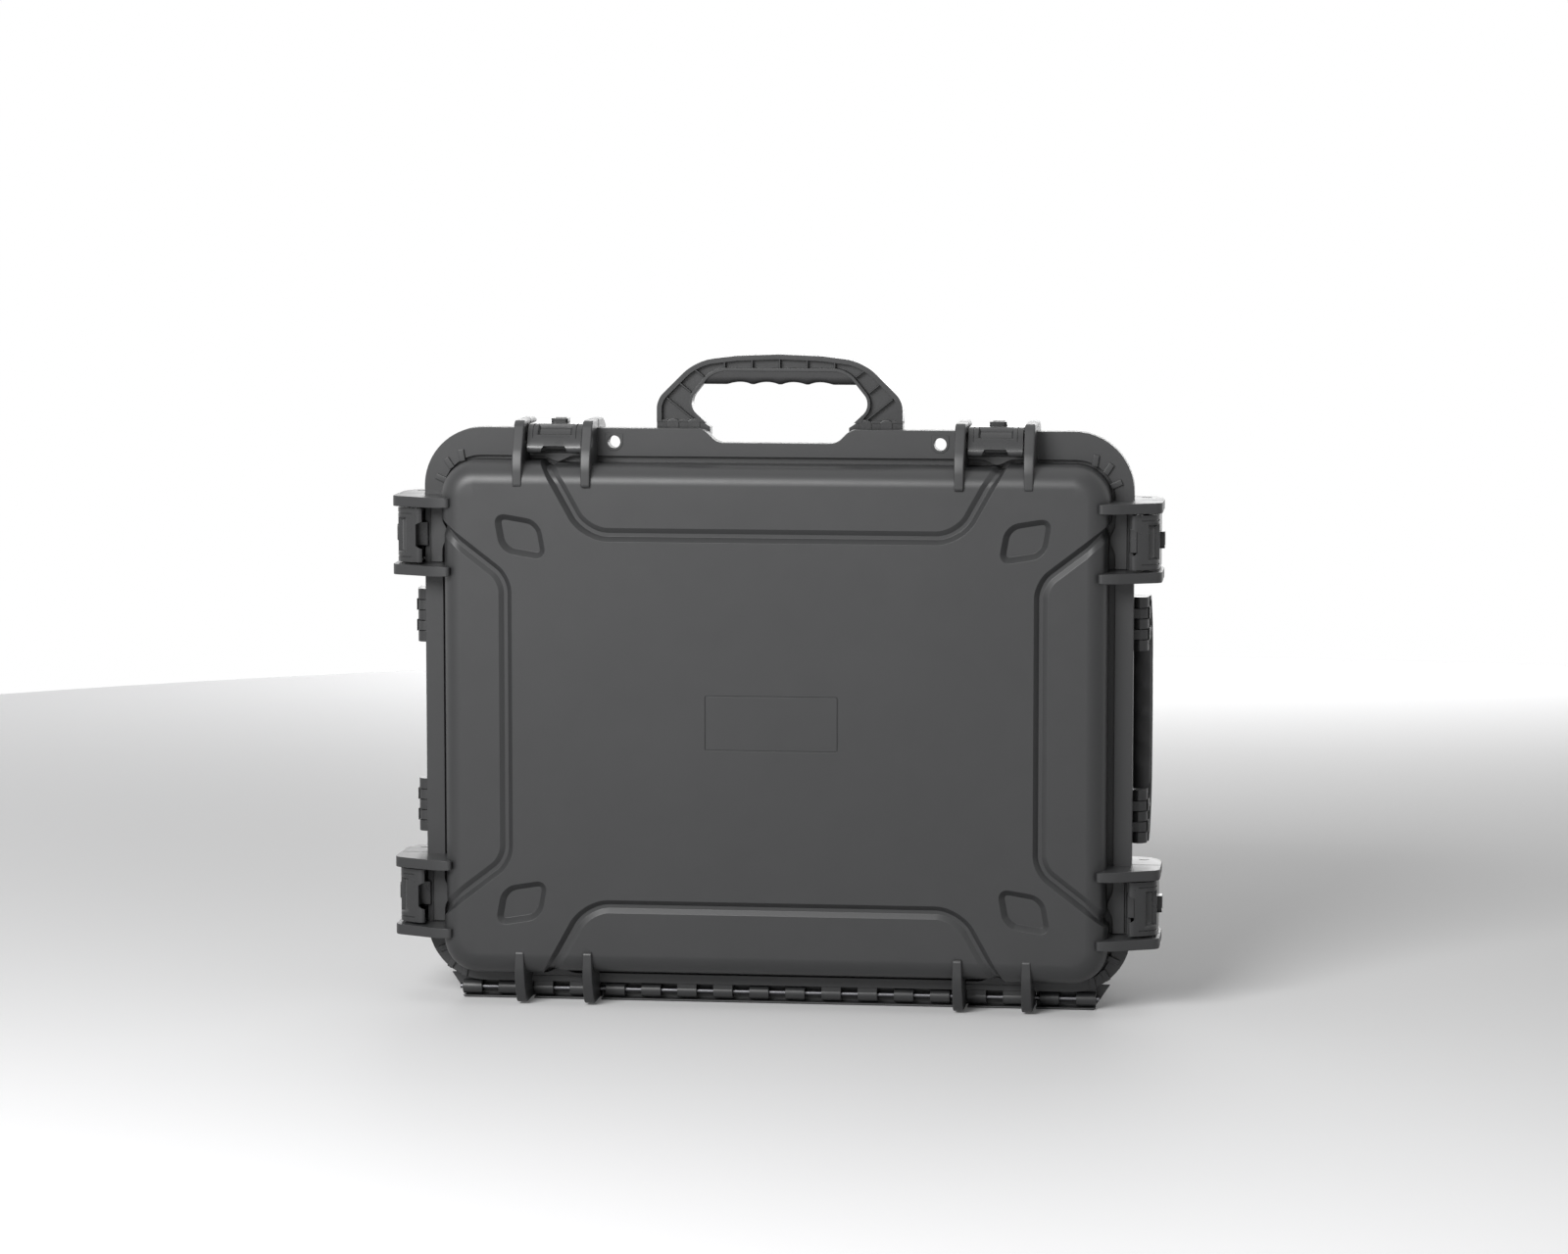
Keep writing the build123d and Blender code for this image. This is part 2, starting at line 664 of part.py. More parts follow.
def handle_frame():
    face = handle_outline()
    body = prism(face, -handle_depth / 2, handle_depth / 2)
    pocket = offset(face, amount=-handle_rim, kind=Kind.INTERSECTION)
    foot_solid = Pos(0, -10) * Rectangle(2 * handle_half_width, 2 * (10 + handle_barrel_radius + 1))
    pocket = pocket - foot_solid - Pos(0, handle_hand_rise) * Rectangle(
        2 * grip_half_length - 20, 2 * grip_height)
    for rib in handle_ribs():
        pocket = pocket - rib
    cut = (handle_depth - handle_web) / 2
    body -= prism(pocket, -handle_depth / 2, -handle_depth / 2 + cut)
    body -= prism(pocket, handle_depth / 2 - cut, handle_depth / 2)
    for side in (-1, 1):
        middle = side * (handle_half_width + handle_foot_inner) / 2
        for step in (-1, 1):
            slot = Box(handle_knuckle, 2 * handle_depth, 2 * (handle_barrel_radius + 0.8))
            body -= Pos(middle + step * handle_knuckle, 0, 0) * slot
    body -= cylinder_x(handle_pin_radius + 2 * pin_clearance, 2 * handle_half_width + 4, 0, 0)
    seat = Pos(0, 0, handle_hand_rise + grip_height / 2 - 2.5) * Box(
        2 * grip_half_length - 8, 2 * handle_depth, grip_height)
    return Pos(0, handle_axis_depth, 0) * (body - seat)


def handle_grip():
    """Soft grip under the bow, with finger scallops along its lower edge."""
    low = handle_hand_rise - 2.5
    middle = low + grip_height / 2
    grip = Box(2 * grip_half_length - 8 - 2 * running_gap, grip_depth, grip_height - running_gap)
    grip = fillet(grip.edges().filter_by(Axis.X), 4.0)
    grip = Pos(0, 0, middle) * grip
    for index in range(scallop_count):
        x = (index - (scallop_count - 1) / 2) * scallop_pitch
        radius = scallop_pitch / 2.2
        drop = low - radius + scallop_depth
        grip -= Pos(x, 0, drop) * Rot(90, 0, 0) * Cylinder(radius, 2 * grip_depth)
    return Pos(0, handle_axis_depth, 0) * grip


def handle_pins():
    length = handle_half_width - handle_foot_inner - 1
    middle = (handle_half_width + handle_foot_inner) / 2
    return [cylinder_x(handle_pin_radius, length, handle_axis_depth, 0, side * middle)
            for side in (-1, 1)]


# ---- foam and valve -----------------------------------------------------------------------
def foam_block(y0, y1):
    return prism(cavity_sketch(foam_gap), y0, y1)


def lid_foam():
    back = -(lid_depth - cavity_inset) + foam_gap
    return foam_block(back, back + lid_foam_thickness)


def base_pad():
    back = base_depth - cavity_inset - foam_gap
    return foam_block(back - base_pad_thickness, back)


def base_foam():
    """Foam block with a laptop pocket and an accessory slot above it."""
    back = base_depth - cavity_inset - foam_gap - base_pad_thickness - foam_gap
    front = back - pocket_depth
    block = foam_block(front, back)
    inner_height = body_height - 2 * (cavity_inset + foam_gap)
    pocket_width = body_width - 2 * (cavity_inset + foam_gap + foam_border_x)
    pocket_height = inner_height - 2 * foam_border_z - slot_width - slot_wall
    low = body_z - inner_height / 2 + foam_border_z
    pocket = Pos(0, low + pocket_height / 2) * RectangleRounded(pocket_width, pocket_height,
                                                                pocket_radius)
    slot_z = low + pocket_height + slot_wall + slot_width / 2
    slot = Pos(0, slot_z) * RectangleRounded(pocket_width, slot_width, pocket_radius)
    return block - prism(pocket, front - 1, back + 1) - prism(slot, front - 1, back + 1)


def valve_pieces():
    """Pressure valve through the base's top wall."""
    outside = body_z + body_height / 2 - relief_step
    inside = body_z + body_height / 2 - cavity_inset
    y = valve_depth_place
    stem_radius = valve_bore - 0.2
    stem_low = inside - 5
    cap = Pos(0, y, outside + valve_height / 2) * Cylinder(valve_radius, valve_height)
    cap = fillet(cap.faces().sort_by(Axis.Z)[-1].edges(), 1.2)
    stem = Pos(0, y, (outside + stem_low) / 2) * Cylinder(stem_radius, outside - stem_low)
    bore = Pos(0, y, (outside + stem_low) / 2 - 1) * Cylinder(stem_radius - 2.5, outside - stem_low)
    nut = extrude(RegularPolygon(valve_bore + 3.5, 6), amount=3.5)
    nut -= Pos(0, 0, 1.75) * Cylinder(valve_bore - 0.1, 5)
    disc = Pos(0, y, stem_low + 1) * Cylinder(stem_radius - 2.55, 0.8)
    return {"valve_body": cap + stem - bore, "valve_nut": Pos(0, y, inside - 3.5) * nut,
            "valve_membrane": disc}


# ---- assembly -----------------------------------------------------------------------------
def all_nodes():
    nodes = {**lid_pieces(), **base_pieces(), "gasket": gasket(), "hinge_rod": hinge_rod(),
             "lid_foam": lid_foam(), "base_foam": base_foam(), "base_pad": base_pad()}
    nodes.update(valve_pieces())
    pieces, pivots = latch_pieces(), []
    for name, (place, catch, reach) in latch_places().items():
        for piece, shape in pieces.items():
            nodes["latch_" + name + "_" + piece] = place * (Pos(0, 0, catch) * shape)
        pivots.append(place * (Pos(0, 0, catch) * pivot_pin()))
    frame, grip, pins = handle_frame(), handle_grip(), []
    for name, place in handle_places().items():
        turn = Location() if name == "top" else folded()
        nodes["handle_" + name + "_frame"] = place * (turn * frame)
        nodes["handle_" + name + "_grip"] = place * (turn * grip)
        pins += [place * pin for pin in handle_pins()]
    nodes["latch_pivot_pins"] = Compound(children=pivots)
    nodes["handle_pins"] = Compound(children=pins)
    return nodes


def folded():
    """Turns a handle a quarter turn back about its pivot, against the base wall."""
    back = Pos(0, handle_axis_depth, 0)
    return back * Rot(-90, 0, 0) * back.inverse()


os.makedirs("parts", exist_ok=True)
for node_name, node_shape in all_nodes().items():
    export_step(Pos(0, shift_y, 0) * node_shape, "parts/" + node_name + ".step")
    print(node_name)
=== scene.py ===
import math
import bmesh
import bpy
from mathutils import Matrix, Vector


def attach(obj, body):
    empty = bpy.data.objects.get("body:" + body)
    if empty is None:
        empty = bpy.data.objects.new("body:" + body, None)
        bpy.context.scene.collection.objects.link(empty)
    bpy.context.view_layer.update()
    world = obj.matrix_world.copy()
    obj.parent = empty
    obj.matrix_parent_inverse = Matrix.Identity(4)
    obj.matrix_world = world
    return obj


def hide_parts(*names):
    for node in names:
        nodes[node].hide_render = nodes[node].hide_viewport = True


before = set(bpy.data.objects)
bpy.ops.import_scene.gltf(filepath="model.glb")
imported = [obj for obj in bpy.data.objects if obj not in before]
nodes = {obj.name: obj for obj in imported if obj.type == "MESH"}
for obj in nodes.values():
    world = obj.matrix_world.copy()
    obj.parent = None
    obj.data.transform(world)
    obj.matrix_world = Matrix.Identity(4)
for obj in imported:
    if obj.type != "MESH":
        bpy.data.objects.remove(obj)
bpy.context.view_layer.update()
print("frame loaded:", len(nodes), "nodes")

# sizes are in millimetres; the parting plane is at y = 0 until a piece is put in the row frame
caseSize = {"width": 507.0, "height": 392.0, "corner": 27.0, "edgeRound": 17.0, "middleZ": 220.0,
            "lidDepth": 41.0, "baseDepth": 139.0, "rowShift": -49.5}
toRow = Matrix.Scale(0.001, 4) @ Matrix.Translation((0, caseSize["rowShift"], 0))
quarters = [(sx, sz) for sx in (-1, 1) for sz in (-1, 1)]


def halfSize(inset=0.0):
    return caseSize["width"] / 2 - inset, caseSize["height"] / 2 - inset


def newVerts(made):
    return [g for g in made["geom"] if isinstance(g, bmesh.types.BMVert)]


def newRim(made):
    # the open edges that an extrusion made
    return [g for g in made["geom"] if isinstance(g, bmesh.types.BMEdge) and len(g.link_faces) == 1]


def openEdges(bm):
    return [e for e in bm.edges if len(e.link_faces) == 1]


def sharpEdges(bm, angle=25.0, test=None):
    limit = math.radians(angle)
    return [e for e in bm.edges if len(e.link_faces) == 2
            and abs(e.calc_face_angle_signed(0.0)) > limit and (test is None or test(e))]


def soften(bm, width, segments=2, angle=25.0, test=None):
    edges = sharpEdges(bm, angle, test)
    if edges:
        bmesh.ops.bevel(bm, geom=edges, offset=width, offset_type="OFFSET", segments=segments,
                        profile=0.5, affect="EDGES", clamp_overlap=True, material=-1)


def roundVerts(bm, verts, tangent, segments=6):
    bmesh.ops.bevel(bm, geom=verts, offset=tangent, offset_type="OFFSET", segments=segments,
                    profile=0.5, affect="VERTICES", clamp_overlap=True, material=-1)


def insetFaces(bm, faces, thickness, depth, boundary=True, even=True):
    return bmesh.ops.inset_region(bm, faces=faces, use_boundary=boundary, use_even_offset=even,
                                  thickness=thickness, depth=depth)["faces"]


def cutAcross(bm, point, normal, clear=False):
    bmesh.ops.bisect_plane(bm, geom=bm.verts[:] + bm.edges[:] + bm.faces[:], dist=1e-4,
                           plane_co=point, plane_no=normal, clear_inner=clear)


def flatFace(bm, points):
    return bm.faces.new([bm.verts.new(p) for p in points])


def vertAt(bm, known, point, spot):
    # one vertex for each point of a flat outline; spot turns the point into a place in space
    key = (round(point[0], 3), round(point[1], 3))
    if key not in known:
        known[key] = bm.verts.new(spot(*key))
    return known[key]


def thicken(bm, offset):
    # closes flat faces into a block by moving a copy of them
    made = bmesh.ops.extrude_face_region(bm, geom=bm.faces[:], use_keep_orig=True)
    bmesh.ops.translate(bm, verts=newVerts(made), vec=offset)
    bmesh.ops.recalc_face_normals(bm, faces=bm.faces[:])


def flatRing(inner, outer, segments):
    # washer in the xy plane
    bm = bmesh.new()
    bmesh.ops.create_circle(bm, cap_ends=False, segments=segments, radius=inner)
    for v in newVerts(bmesh.ops.extrude_edge_only(bm, edges=bm.edges[:])):
        v.co *= outer / inner
    return bm


def profileBlock(outline, width, rounds=(), edge=0.6, segments=2):
    # block of a (y, z) outline along x; rounds lists (corner numbers, tangent length)
    bm = bmesh.new()
    corners = flatFace(bm, [(-width / 2, y, z) for y, z in outline]).verts[:]
    for numbers, tangent in rounds:
        roundVerts(bm, [corners[i] for i in numbers], tangent)
    thicken(bm, (width, 0, 0))
    if edge:
        soften(bm, edge, segments)
    return bm


def roundedBox(size, middle, edge, segments=2):
    bm = bmesh.new()
    bmesh.ops.create_cube(bm, size=1.0)
    bmesh.ops.scale(bm, vec=size, verts=bm.verts)
    bmesh.ops.translate(bm, vec=middle, verts=bm.verts)
    soften(bm, edge, segments)
    return bm


def barrel(radius, length, middle, edge=0.5, sides=28):
    # cylinder along x with softened rims
    bm = bmesh.new()
    bmesh.ops.create_cone(bm, cap_ends=True, segments=sides, radius1=radius, radius2=radius,
                          depth=length, matrix=Matrix.Rotation(math.radians(90), 4, "Y"))
    if edge:
        soften(bm, edge, 2, 60.0)
    bmesh.ops.translate(bm, vec=middle, verts=bm.verts)
    return bm


def add(target, source, matrix=None, free=True):
    mesh = bpy.data.meshes.new("part")
    copy = source.copy()
    if matrix is not None:
        bmesh.ops.transform(copy, matrix=matrix, verts=copy.verts)
        if matrix.determinant() < 0:
            bmesh.ops.reverse_faces(copy, faces=copy.faces[:])
    copy.to_mesh(mesh)
    copy.free()
    target.from_mesh(mesh)
    bpy.data.meshes.remove(mesh)
    if free:
        source.free()


finishLook = {"sharpAngle": 38.0, "normalWeight": 60}


def finishPiece(name, bm, body, material, stands, weighted=True):
    bmesh.ops.transform(bm, matrix=toRow, verts=bm.verts)
    mesh = bpy.data.meshes.new(name)
    bm.to_mesh(mesh)
    bm.free()
    mesh.materials.append(material)
    mesh.shade_smooth()
    mesh.set_sharp_from_angle(angle=math.radians(finishLook["sharpAngle"]))
    piece = bpy.data.objects.new(name, mesh)
    bpy.context.scene.collection.objects.link(piece)
    if weighted:
        normals = piece.modifiers.new("flatNormals", "WEIGHTED_NORMAL")
        normals.keep_sharp = True
        normals.weight = finishLook["normalWeight"]
    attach(piece, body)
    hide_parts(*stands)
    return piece


def nodeGroup(name, inputs, outputs):
    group = bpy.data.node_groups.new(name, "ShaderNodeTree")
    for label, kind, value in inputs:
        socket = group.interface.new_socket(label, in_out="INPUT", socket_type=kind)
        socket.default_value = value
    for label, kind in outputs:
        group.interface.new_socket(label, in_out="OUTPUT", socket_type=kind)
    return group, group.nodes.new("NodeGroupInput"), group.nodes.new("NodeGroupOutput")


def mathNode(tree, kind, *values):
    node = tree.nodes.new("ShaderNodeMath")
    node.operation = kind
    for i, value in enumerate(values):
        if isinstance(value, bpy.types.NodeSocket):
            tree.links.new(value, node.inputs[i])
        else:
            node.inputs[i].default_value = value
    return node.outputs[0]


def vary(tree, base, value, amount, centre=0.0):
    # base + (value - centre) * amount
    if centre:
        value = mathNode(tree, "SUBTRACT", value, centre)
    return mathNode(tree, "ADD", base, mathNode(tree, "MULTIPLY", value, amount))


def scaleColor(tree, color, tone):
    node = tree.nodes.new("ShaderNodeVectorMath")
    node.operation = "SCALE"
    tree.links.new(color, node.inputs[0])
    tree.links.new(tone, node.inputs["Scale"])
    return node.outputs[0]


def noiseNode(tree, vector, scale, detail=3.0, rough=0.55):
    node = tree.nodes.new("ShaderNodeTexNoise")
    tree.links.new(vector, node.inputs["Vector"])
    if isinstance(scale, bpy.types.NodeSocket):
        tree.links.new(scale, node.inputs["Scale"])
    else:
        node.inputs["Scale"].default_value = scale
    node.inputs["Detail"].default_value = detail
    node.inputs["Roughness"].default_value = rough
    return node.outputs["Fac"]


def mixColor(tree, factor, a, b):
    node = tree.nodes.new("ShaderNodeMix")
    node.data_type = "RGBA"
    for socket, value in ((node.inputs[0], factor), (node.inputs[6], a), (node.inputs[7], b)):
        if isinstance(value, bpy.types.NodeSocket):
            tree.links.new(value, socket)
        else:
            socket.default_value = value
    return node.outputs[2]


def makeMouldedGroup():
    # fine spark-eroded texture, faint flow clouds and handling marks of a moulded surface
    group, given, out = nodeGroup("mouldedSurface",
        [("Vector", "NodeSocketVector", (0, 0, 0)), ("Color", "NodeSocketColor", (0.1, 0.1, 0.1, 1)),
         ("Roughness", "NodeSocketFloat", 0.45), ("Grain", "NodeSocketFloat", 2200.0),
         ("Marks", "NodeSocketFloat", 0.3)],
        [("Color", "NodeSocketColor"), ("Roughness", "NodeSocketFloat"), ("Height", "NodeSocketFloat")])
    vector = given.outputs["Vector"]
    grain = noiseNode(group, vector, given.outputs["Grain"], 2.0, 0.6)
    cloud = noiseNode(group, vector, 9.0, 4.0, 0.55)
    rub = noiseNode(group, vector, 60.0, 5.0, 0.65)
    marks = mathNode(group, "MULTIPLY", mathNode(group, "SUBTRACT", rub, 0.5), given.outputs["Marks"])
    tone = vary(group, vary(group, 0.94, cloud, 0.12), marks, 0.25)
    rough = vary(group, vary(group, given.outputs["Roughness"], marks, 0.5), cloud, 0.08, 0.5)
    group.links.new(scaleColor(group, given.outputs["Color"], tone), out.inputs["Color"])
    group.links.new(rough, out.inputs["Roughness"])
    group.links.new(grain, out.inputs["Height"])
    return group


mouldedSurface = makeMouldedGroup()


def newMaterial(name):
    material = bpy.data.materials.new(name)
    material.use_nodes = True
    tree = material.node_tree
    shader = next(n for n in tree.nodes if n.type == "BSDF_PRINCIPLED")
    coords = tree.nodes.new("ShaderNodeTexCoord").outputs["Object"]
    return material, tree, shader, coords


def bumpInto(tree, shader, height, strength, distance):
    bump = tree.nodes.new("ShaderNodeBump")
    bump.inputs["Strength"].default_value = strength
    bump.inputs["Distance"].default_value = distance
    tree.links.new(height, bump.inputs["Height"])
    tree.links.new(bump.outputs["Normal"], shader.inputs["Normal"])


def groupMaterial(name, group, values, settings, bump):
    # material whose pattern comes from one node group
    material, tree, shader, coords = newMaterial(name)
    pattern = tree.nodes.new("ShaderNodeGroup")
    pattern.node_tree = group
    tree.links.new(coords, pattern.inputs["Vector"])
    for label, value in values.items():
        pattern.inputs[label].default_value = value
    for label, value in settings.items():
        shader.inputs[label].default_value = value
    tree.links.new(pattern.outputs["Color"], shader.inputs["Base Color"])
    if "Roughness" in pattern.outputs:
        tree.links.new(pattern.outputs["Roughness"], shader.inputs["Roughness"])
    bumpInto(tree, shader, pattern.outputs["Height"], *bump)
    return material


plasticLooks = {
    "shellPlastic": {"color": (0.034, 0.0345, 0.0355), "rough": 0.40, "grain": 2400.0, "marks": 0.22,
                     "bump": 0.18},
    "latchPlastic": {"color": (0.034, 0.0345, 0.0355), "rough": 0.28, "grain": 3200.0, "marks": 0.25,
                     "bump": 0.10},
    "buttonPlastic": {"color": (0.018, 0.0185, 0.019), "rough": 0.34, "grain": 3200.0, "marks": 0.3,
                      "bump": 0.10},
    "handlePlastic": {"color": (0.032, 0.0325, 0.0335), "rough": 0.34, "grain": 2600.0, "marks": 0.3,
                      "bump": 0.15},
    "gripRubber": {"color": (0.030, 0.030, 0.031), "rough": 0.62, "grain": 1800.0, "marks": 0.35,
                   "bump": 0.35},
    "sealRubber": {"color": (0.026, 0.026, 0.027), "rough": 0.58, "grain": 1500.0, "marks": 0.3,
                   "bump": 0.12},
    "valvePlastic": {"color": (0.030, 0.030, 0.032), "rough": 0.4, "grain": 3000.0, "marks": 0.3,
                     "bump": 0.12}}


def mouldedPlastic(name):
    look = plasticLooks[name]
    values = {"Color": (*look["color"], 1), "Roughness": look["rough"], "Grain": look["grain"],
              "Marks": look["marks"]}
    return groupMaterial(name, mouldedSurface, values, {"IOR": 1.48}, (look["bump"], 0.0002))


shellPlastic = mouldedPlastic("shellPlastic")
latchPlastic = mouldedPlastic("latchPlastic")
buttonPlastic = mouldedPlastic("buttonPlastic")
handlePlastic = mouldedPlastic("handlePlastic")


skinLook = {"topInset": 59.5, "topCorner": 109.3, "topSlant": 61.0, "topRound": 20.0,
            "sideInset": 56.0, "sideCorner": 86.0, "sideSlant": 52.4, "sideRound": 12.8,
            "groove": ((3.7, -4.2), (2.8, 0.0), (3.8, 2.1)), "grooveSoft": 0.9,
            "padX": 62.5, "padZ": 56.1, "padLong": (17.9, 2.996), "padShort": (2.745, 15.255),
            "padRound": 10.0, "padSlope": 4.4, "lidPadLift": -4.6, "basePadLift": 2.0,
            "plateWidth": 101.0, "plateHeight": 42.0, "plateRound": 1.6,
            "plateLine": ((0.2, -0.45), (0.35, 0), (0.2, 0.45)),
            "cavityInset": 7.0, "cavityRound": 6.0, "foldSteps": 8, "cornerSteps": 12}
faceKinds = {"plain": 1, "panel": 2, "pad": 3, "plate": 4, "strip": 9}


def foldPoint(co, depth):
    # lays the flat pattern round the body's edge and down its walls
    (w, h), r = halfSize(), caseSize["edgeRound"]
    x, z, lift = co
    for half, value, folded in ((h, z, lambda out, y: (x, y, out)), (w, x, lambda out, y: (out, y, z))):
        over = abs(value) - (half - r)
        if over > 1e-6:
            turn = math.asin(min(over / r, 1.0))
            out = math.copysign(half - r + (r + lift) * math.sin(turn), value)
            return Vector(folded(out, -depth + r - (r + lift) * math.cos(turn) + max(over - r, 0.0)))
    return Vector((x, -depth - lift, z))


def flatPattern(depth, wallEnd, padLift):
    # the face and its walls laid flat, as faces of five kinds that share their corners
    look = skinLook
    w, h = halfSize()
    wall = depth - caseSize["edgeRound"] - wallEnd
    low, high = halfSize(caseSize["corner"])
    topZ, topX = h - look["topInset"], w - look["topCorner"]
    sideX, sideZ = w - look["sideInset"], h - look["sideCorner"]
    topOut = topX + look["topInset"] / math.tan(math.radians(look["topSlant"]))
    sideOut = sideZ + look["sideInset"] / math.tan(math.radians(look["sideSlant"]))
    onTop = ((topX + topOut) / 2, (topZ + h) / 2)
    onSide = ((sideX + w) / 2, (sideZ + sideOut) / 2)
    padX, padZ = w - look["padX"], h - look["padZ"]
    (ax, az), (bx, bz) = look["padLong"], look["padShort"]
    ul, ur = (padX - ax + bx, padZ - az + bz), (padX + ax + bx, padZ + az + bz)
    lr, ll = (padX + ax - bx, padZ + az - bz), (padX - ax - bx, padZ - az - bz)
    midLeft, midRight = (padX - ax, padZ - az), (padX + ax, padZ + az)
    px, pz = look["plateWidth"] / 2, look["plateHeight"] / 2
    bm = bmesh.new()
    kinds = bm.faces.layers.int.new("kind")
    known = {}

    def at(point):
        return vertAt(bm, known, point, lambda x, z: (x, z, 0))

    def put(points, kind):
        face = bm.faces.new([at(p) for p in points])
        face.normal_update()
        if face.normal.z < 0:
            face.normal_flip()
        face[kinds] = faceKinds[kind]

    def flip(sx, sz, points):
        return [(sx * x, sz * z) for x, z in points]

    corner = [onTop, (topOut, h), (topOut, h + wall), (low, h + wall), (low, high), (w + wall, high),
              (w + wall, sideOut), (w, sideOut), onSide, midRight, ur, ul, midLeft]
    for sx, sz in quarters:
        put(flip(sx, sz, corner), "plain")
        put(flip(sx, sz, [ul, ur, midRight, lr, ll, midLeft]), "pad")
    rightHalf = [(px, 0), (sideX, 0), (sideX, sideZ), onSide, midRight, lr, ll, midLeft, onTop,
                 (topX, topZ)]
    top = [onTop, (topOut, h), (topOut, h + wall)]
    side = [(sideX, sideZ), onSide, (w, sideOut), (w + wall, sideOut)]
    for s in (-1, 1):
        points = flip(1, s, rightHalf) + flip(-1, s, rightHalf[::-1])
        put(points + flip(1, s, [(-px, pz), (px, pz)]), "plain")
        put(flip(1, s, [(topX, topZ)] + top) + flip(-1, s, top[::-1] + [(topX, topZ)]), "panel")
        put(flip(s, 1, [(sideX, 0)] + side) + flip(s, -1, side[::-1]), "panel")
    put([(-px, -pz), (px, -pz), (px, 0), (px, pz), (-px, pz), (-px, 0)], "plate")
    for points, tangent, steps in (
            ([(topX, topZ)], look["topRound"], 14), ([(sideX, sideZ)], look["sideRound"], 12),
            ([ul, ur, lr, ll], look["padRound"], 6), ([(px, pz)], look["plateRound"], 4)):
        verts = [at((sx * x, sz * z)) for x, z in points for sx, sz in quarters]
        roundVerts(bm, verts, tangent, steps)
        known.clear()
        for v in bm.verts:
            known[(round(v.co.x, 3), round(v.co.y, 3))] = v
    for kind, steps in (("panel", look["groove"]), ("pad", ((look["padSlope"], padLift),)),
                        ("plate", look["plateLine"])):
        group = [f for f in bm.faces if f[kinds] == faceKinds[kind]]
        for thickness, lift in steps:
            for face in group:
                for strip in insetFaces(bm, [face], thickness, lift, boundary=False):
                    strip[kinds] = faceKinds["strip"]
    soften(bm, look["grooveSoft"], 3, 8.0)
    return bm


def foldCuts(bm):
    # lines across the pattern where it bends
    (w, h), r = halfSize(), caseSize["edgeRound"]
    steps = skinLook["foldSteps"]
    for half, axis in ((h, Vector((0, 1, 0))), (w, Vector((1, 0, 0)))):
        for k in range(steps + 1):
            place = half - r + r * math.sin(math.radians(90 * k / steps))
            for side in (-1, 1):
                cutAcross(bm, axis * place * side, axis)


def shellSkin(depth, padLift, wallEnd=0.0):
    # outside of a shell with its wall's end near y = 0 and its face at y = -depth
    bm = flatPattern(depth, wallEnd, padLift)
    foldCuts(bm)
    for v in bm.verts:
        v.co = foldPoint(v.co, depth)
    low, high = halfSize(caseSize["corner"])
    for sx, sz in quarters:
        edges = [e for e in openEdges(bm) if all(
            abs(v.co.x - sx * low) < 1e-3 and sz * v.co.z > high - 1e-3 for v in e.verts)]
        verts = list(dict.fromkeys(v for e in edges for v in e.verts))
        bmesh.ops.spin(bm, geom=edges + verts, cent=(sx * low, 0, sz * high), axis=(0, 1, 0),
                       angle=math.radians(90) * sx * sz, steps=skinLook["cornerSteps"],
                       use_merge=False)
    bmesh.ops.remove_doubles(bm, verts=bm.verts[:], dist=0.02)
    bmesh.ops.dissolve_degenerate(bm, edges=bm.edges[:], dist=0.005)
    return bm


def onCavity(x, z, inset):
    # nearest point of the cavity's rounded outline
    (w, h), r = halfSize(inset), caseSize["corner"] - inset
    cx, cz = max(-w + r, min(w - r, x)), max(-h + r, min(h - r, z))
    away = Vector((x - cx, z - cz))
    if away.length > 1e-6:
        away = away.normalized() * r
    return cx + away.x, cz + away.y


def ringOf(bm, inset, y, steps, onlyLoop=False):
    # face in the wall's rounded outline, moved in by inset
    w, h = halfSize(inset)
    face = flatFace(bm, [(x, y, caseSize["middleZ"] + z)
                         for x, z in ((-w, -h), (w, -h), (w, h), (-w, h))])
    roundVerts(bm, face.verts[:], caseSize["corner"] - inset, steps)
    if onlyLoop:
        bmesh.ops.delete(bm, geom=bm.faces[:], context="FACES_ONLY")


def closeInside(bm, depth, ledge=()):
    # wall end, cavity wall and cavity floor; ledge lists (y, inset) steps before the cavity
    look = skinLook
    bmesh.ops.recalc_face_normals(bm, faces=bm.faces[:])
    loop = openEdges(bm)
    floor, r = -(depth - look["cavityInset"]), look["cavityRound"]
    levels = [(y, inset - look["cavityInset"]) for y, inset in ledge]
    levels += [(0.0, 0.0), (floor + r, 0.0)]
    levels += [(floor + r * (1 - math.sin(a)), r * (1 - math.cos(a)))
               for a in (math.radians(d) for d in (30, 60, 90))]
    for y, inward in levels:
        made = bmesh.ops.extrude_edge_only(bm, edges=loop)
        for v in newVerts(made):
            x, z = onCavity(v.co.x, v.co.z, look["cavityInset"] + inward)
            v.co = (x, y, z)
        loop = newRim(made)
    bmesh.ops.holes_fill(bm, edges=loop, sides=0)
    bmesh.ops.remove_doubles(bm, verts=bm.verts[:], dist=0.005)


lidSkin = shellSkin(caseSize["lidDepth"], skinLook["lidPadLift"])
closeInside(lidSkin, caseSize["lidDepth"])
bmesh.ops.translate(lidSkin, vec=(0, 0, caseSize["middleZ"]), verts=lidSkin.verts)
lidCover = finishPiece("lidCover", lidSkin, "lid", shellPlastic, ["lid_shell"])
print("lid cover:", len(lidCover.data.polygons), "faces")


rimLook = {"halfWidth": 270.0, "low": 14.0, "high": 440.0, "corner": 45.0, "thick": 6.4, "parting": 0.3,
           "hole": (124.0, 429.6, 4.75), "notch": (141.65, 192.35, 426.0), "notchRound": 1.6,
           "handCut": (56.0, 45.5, 10.5), "cutRound": 4.5, "edge": 0.8, "seat": 3.0,
           "channel": 2.6, "channelDeep": 5.0, "channelCorner": 29.8,
           "nubs": ((36.2, 65.3, 9.0), (37.2, 45.0, 33.0), (36.0, 21.5, 66.0)), "nubSize": (4.4, 9.0, 2.2)}


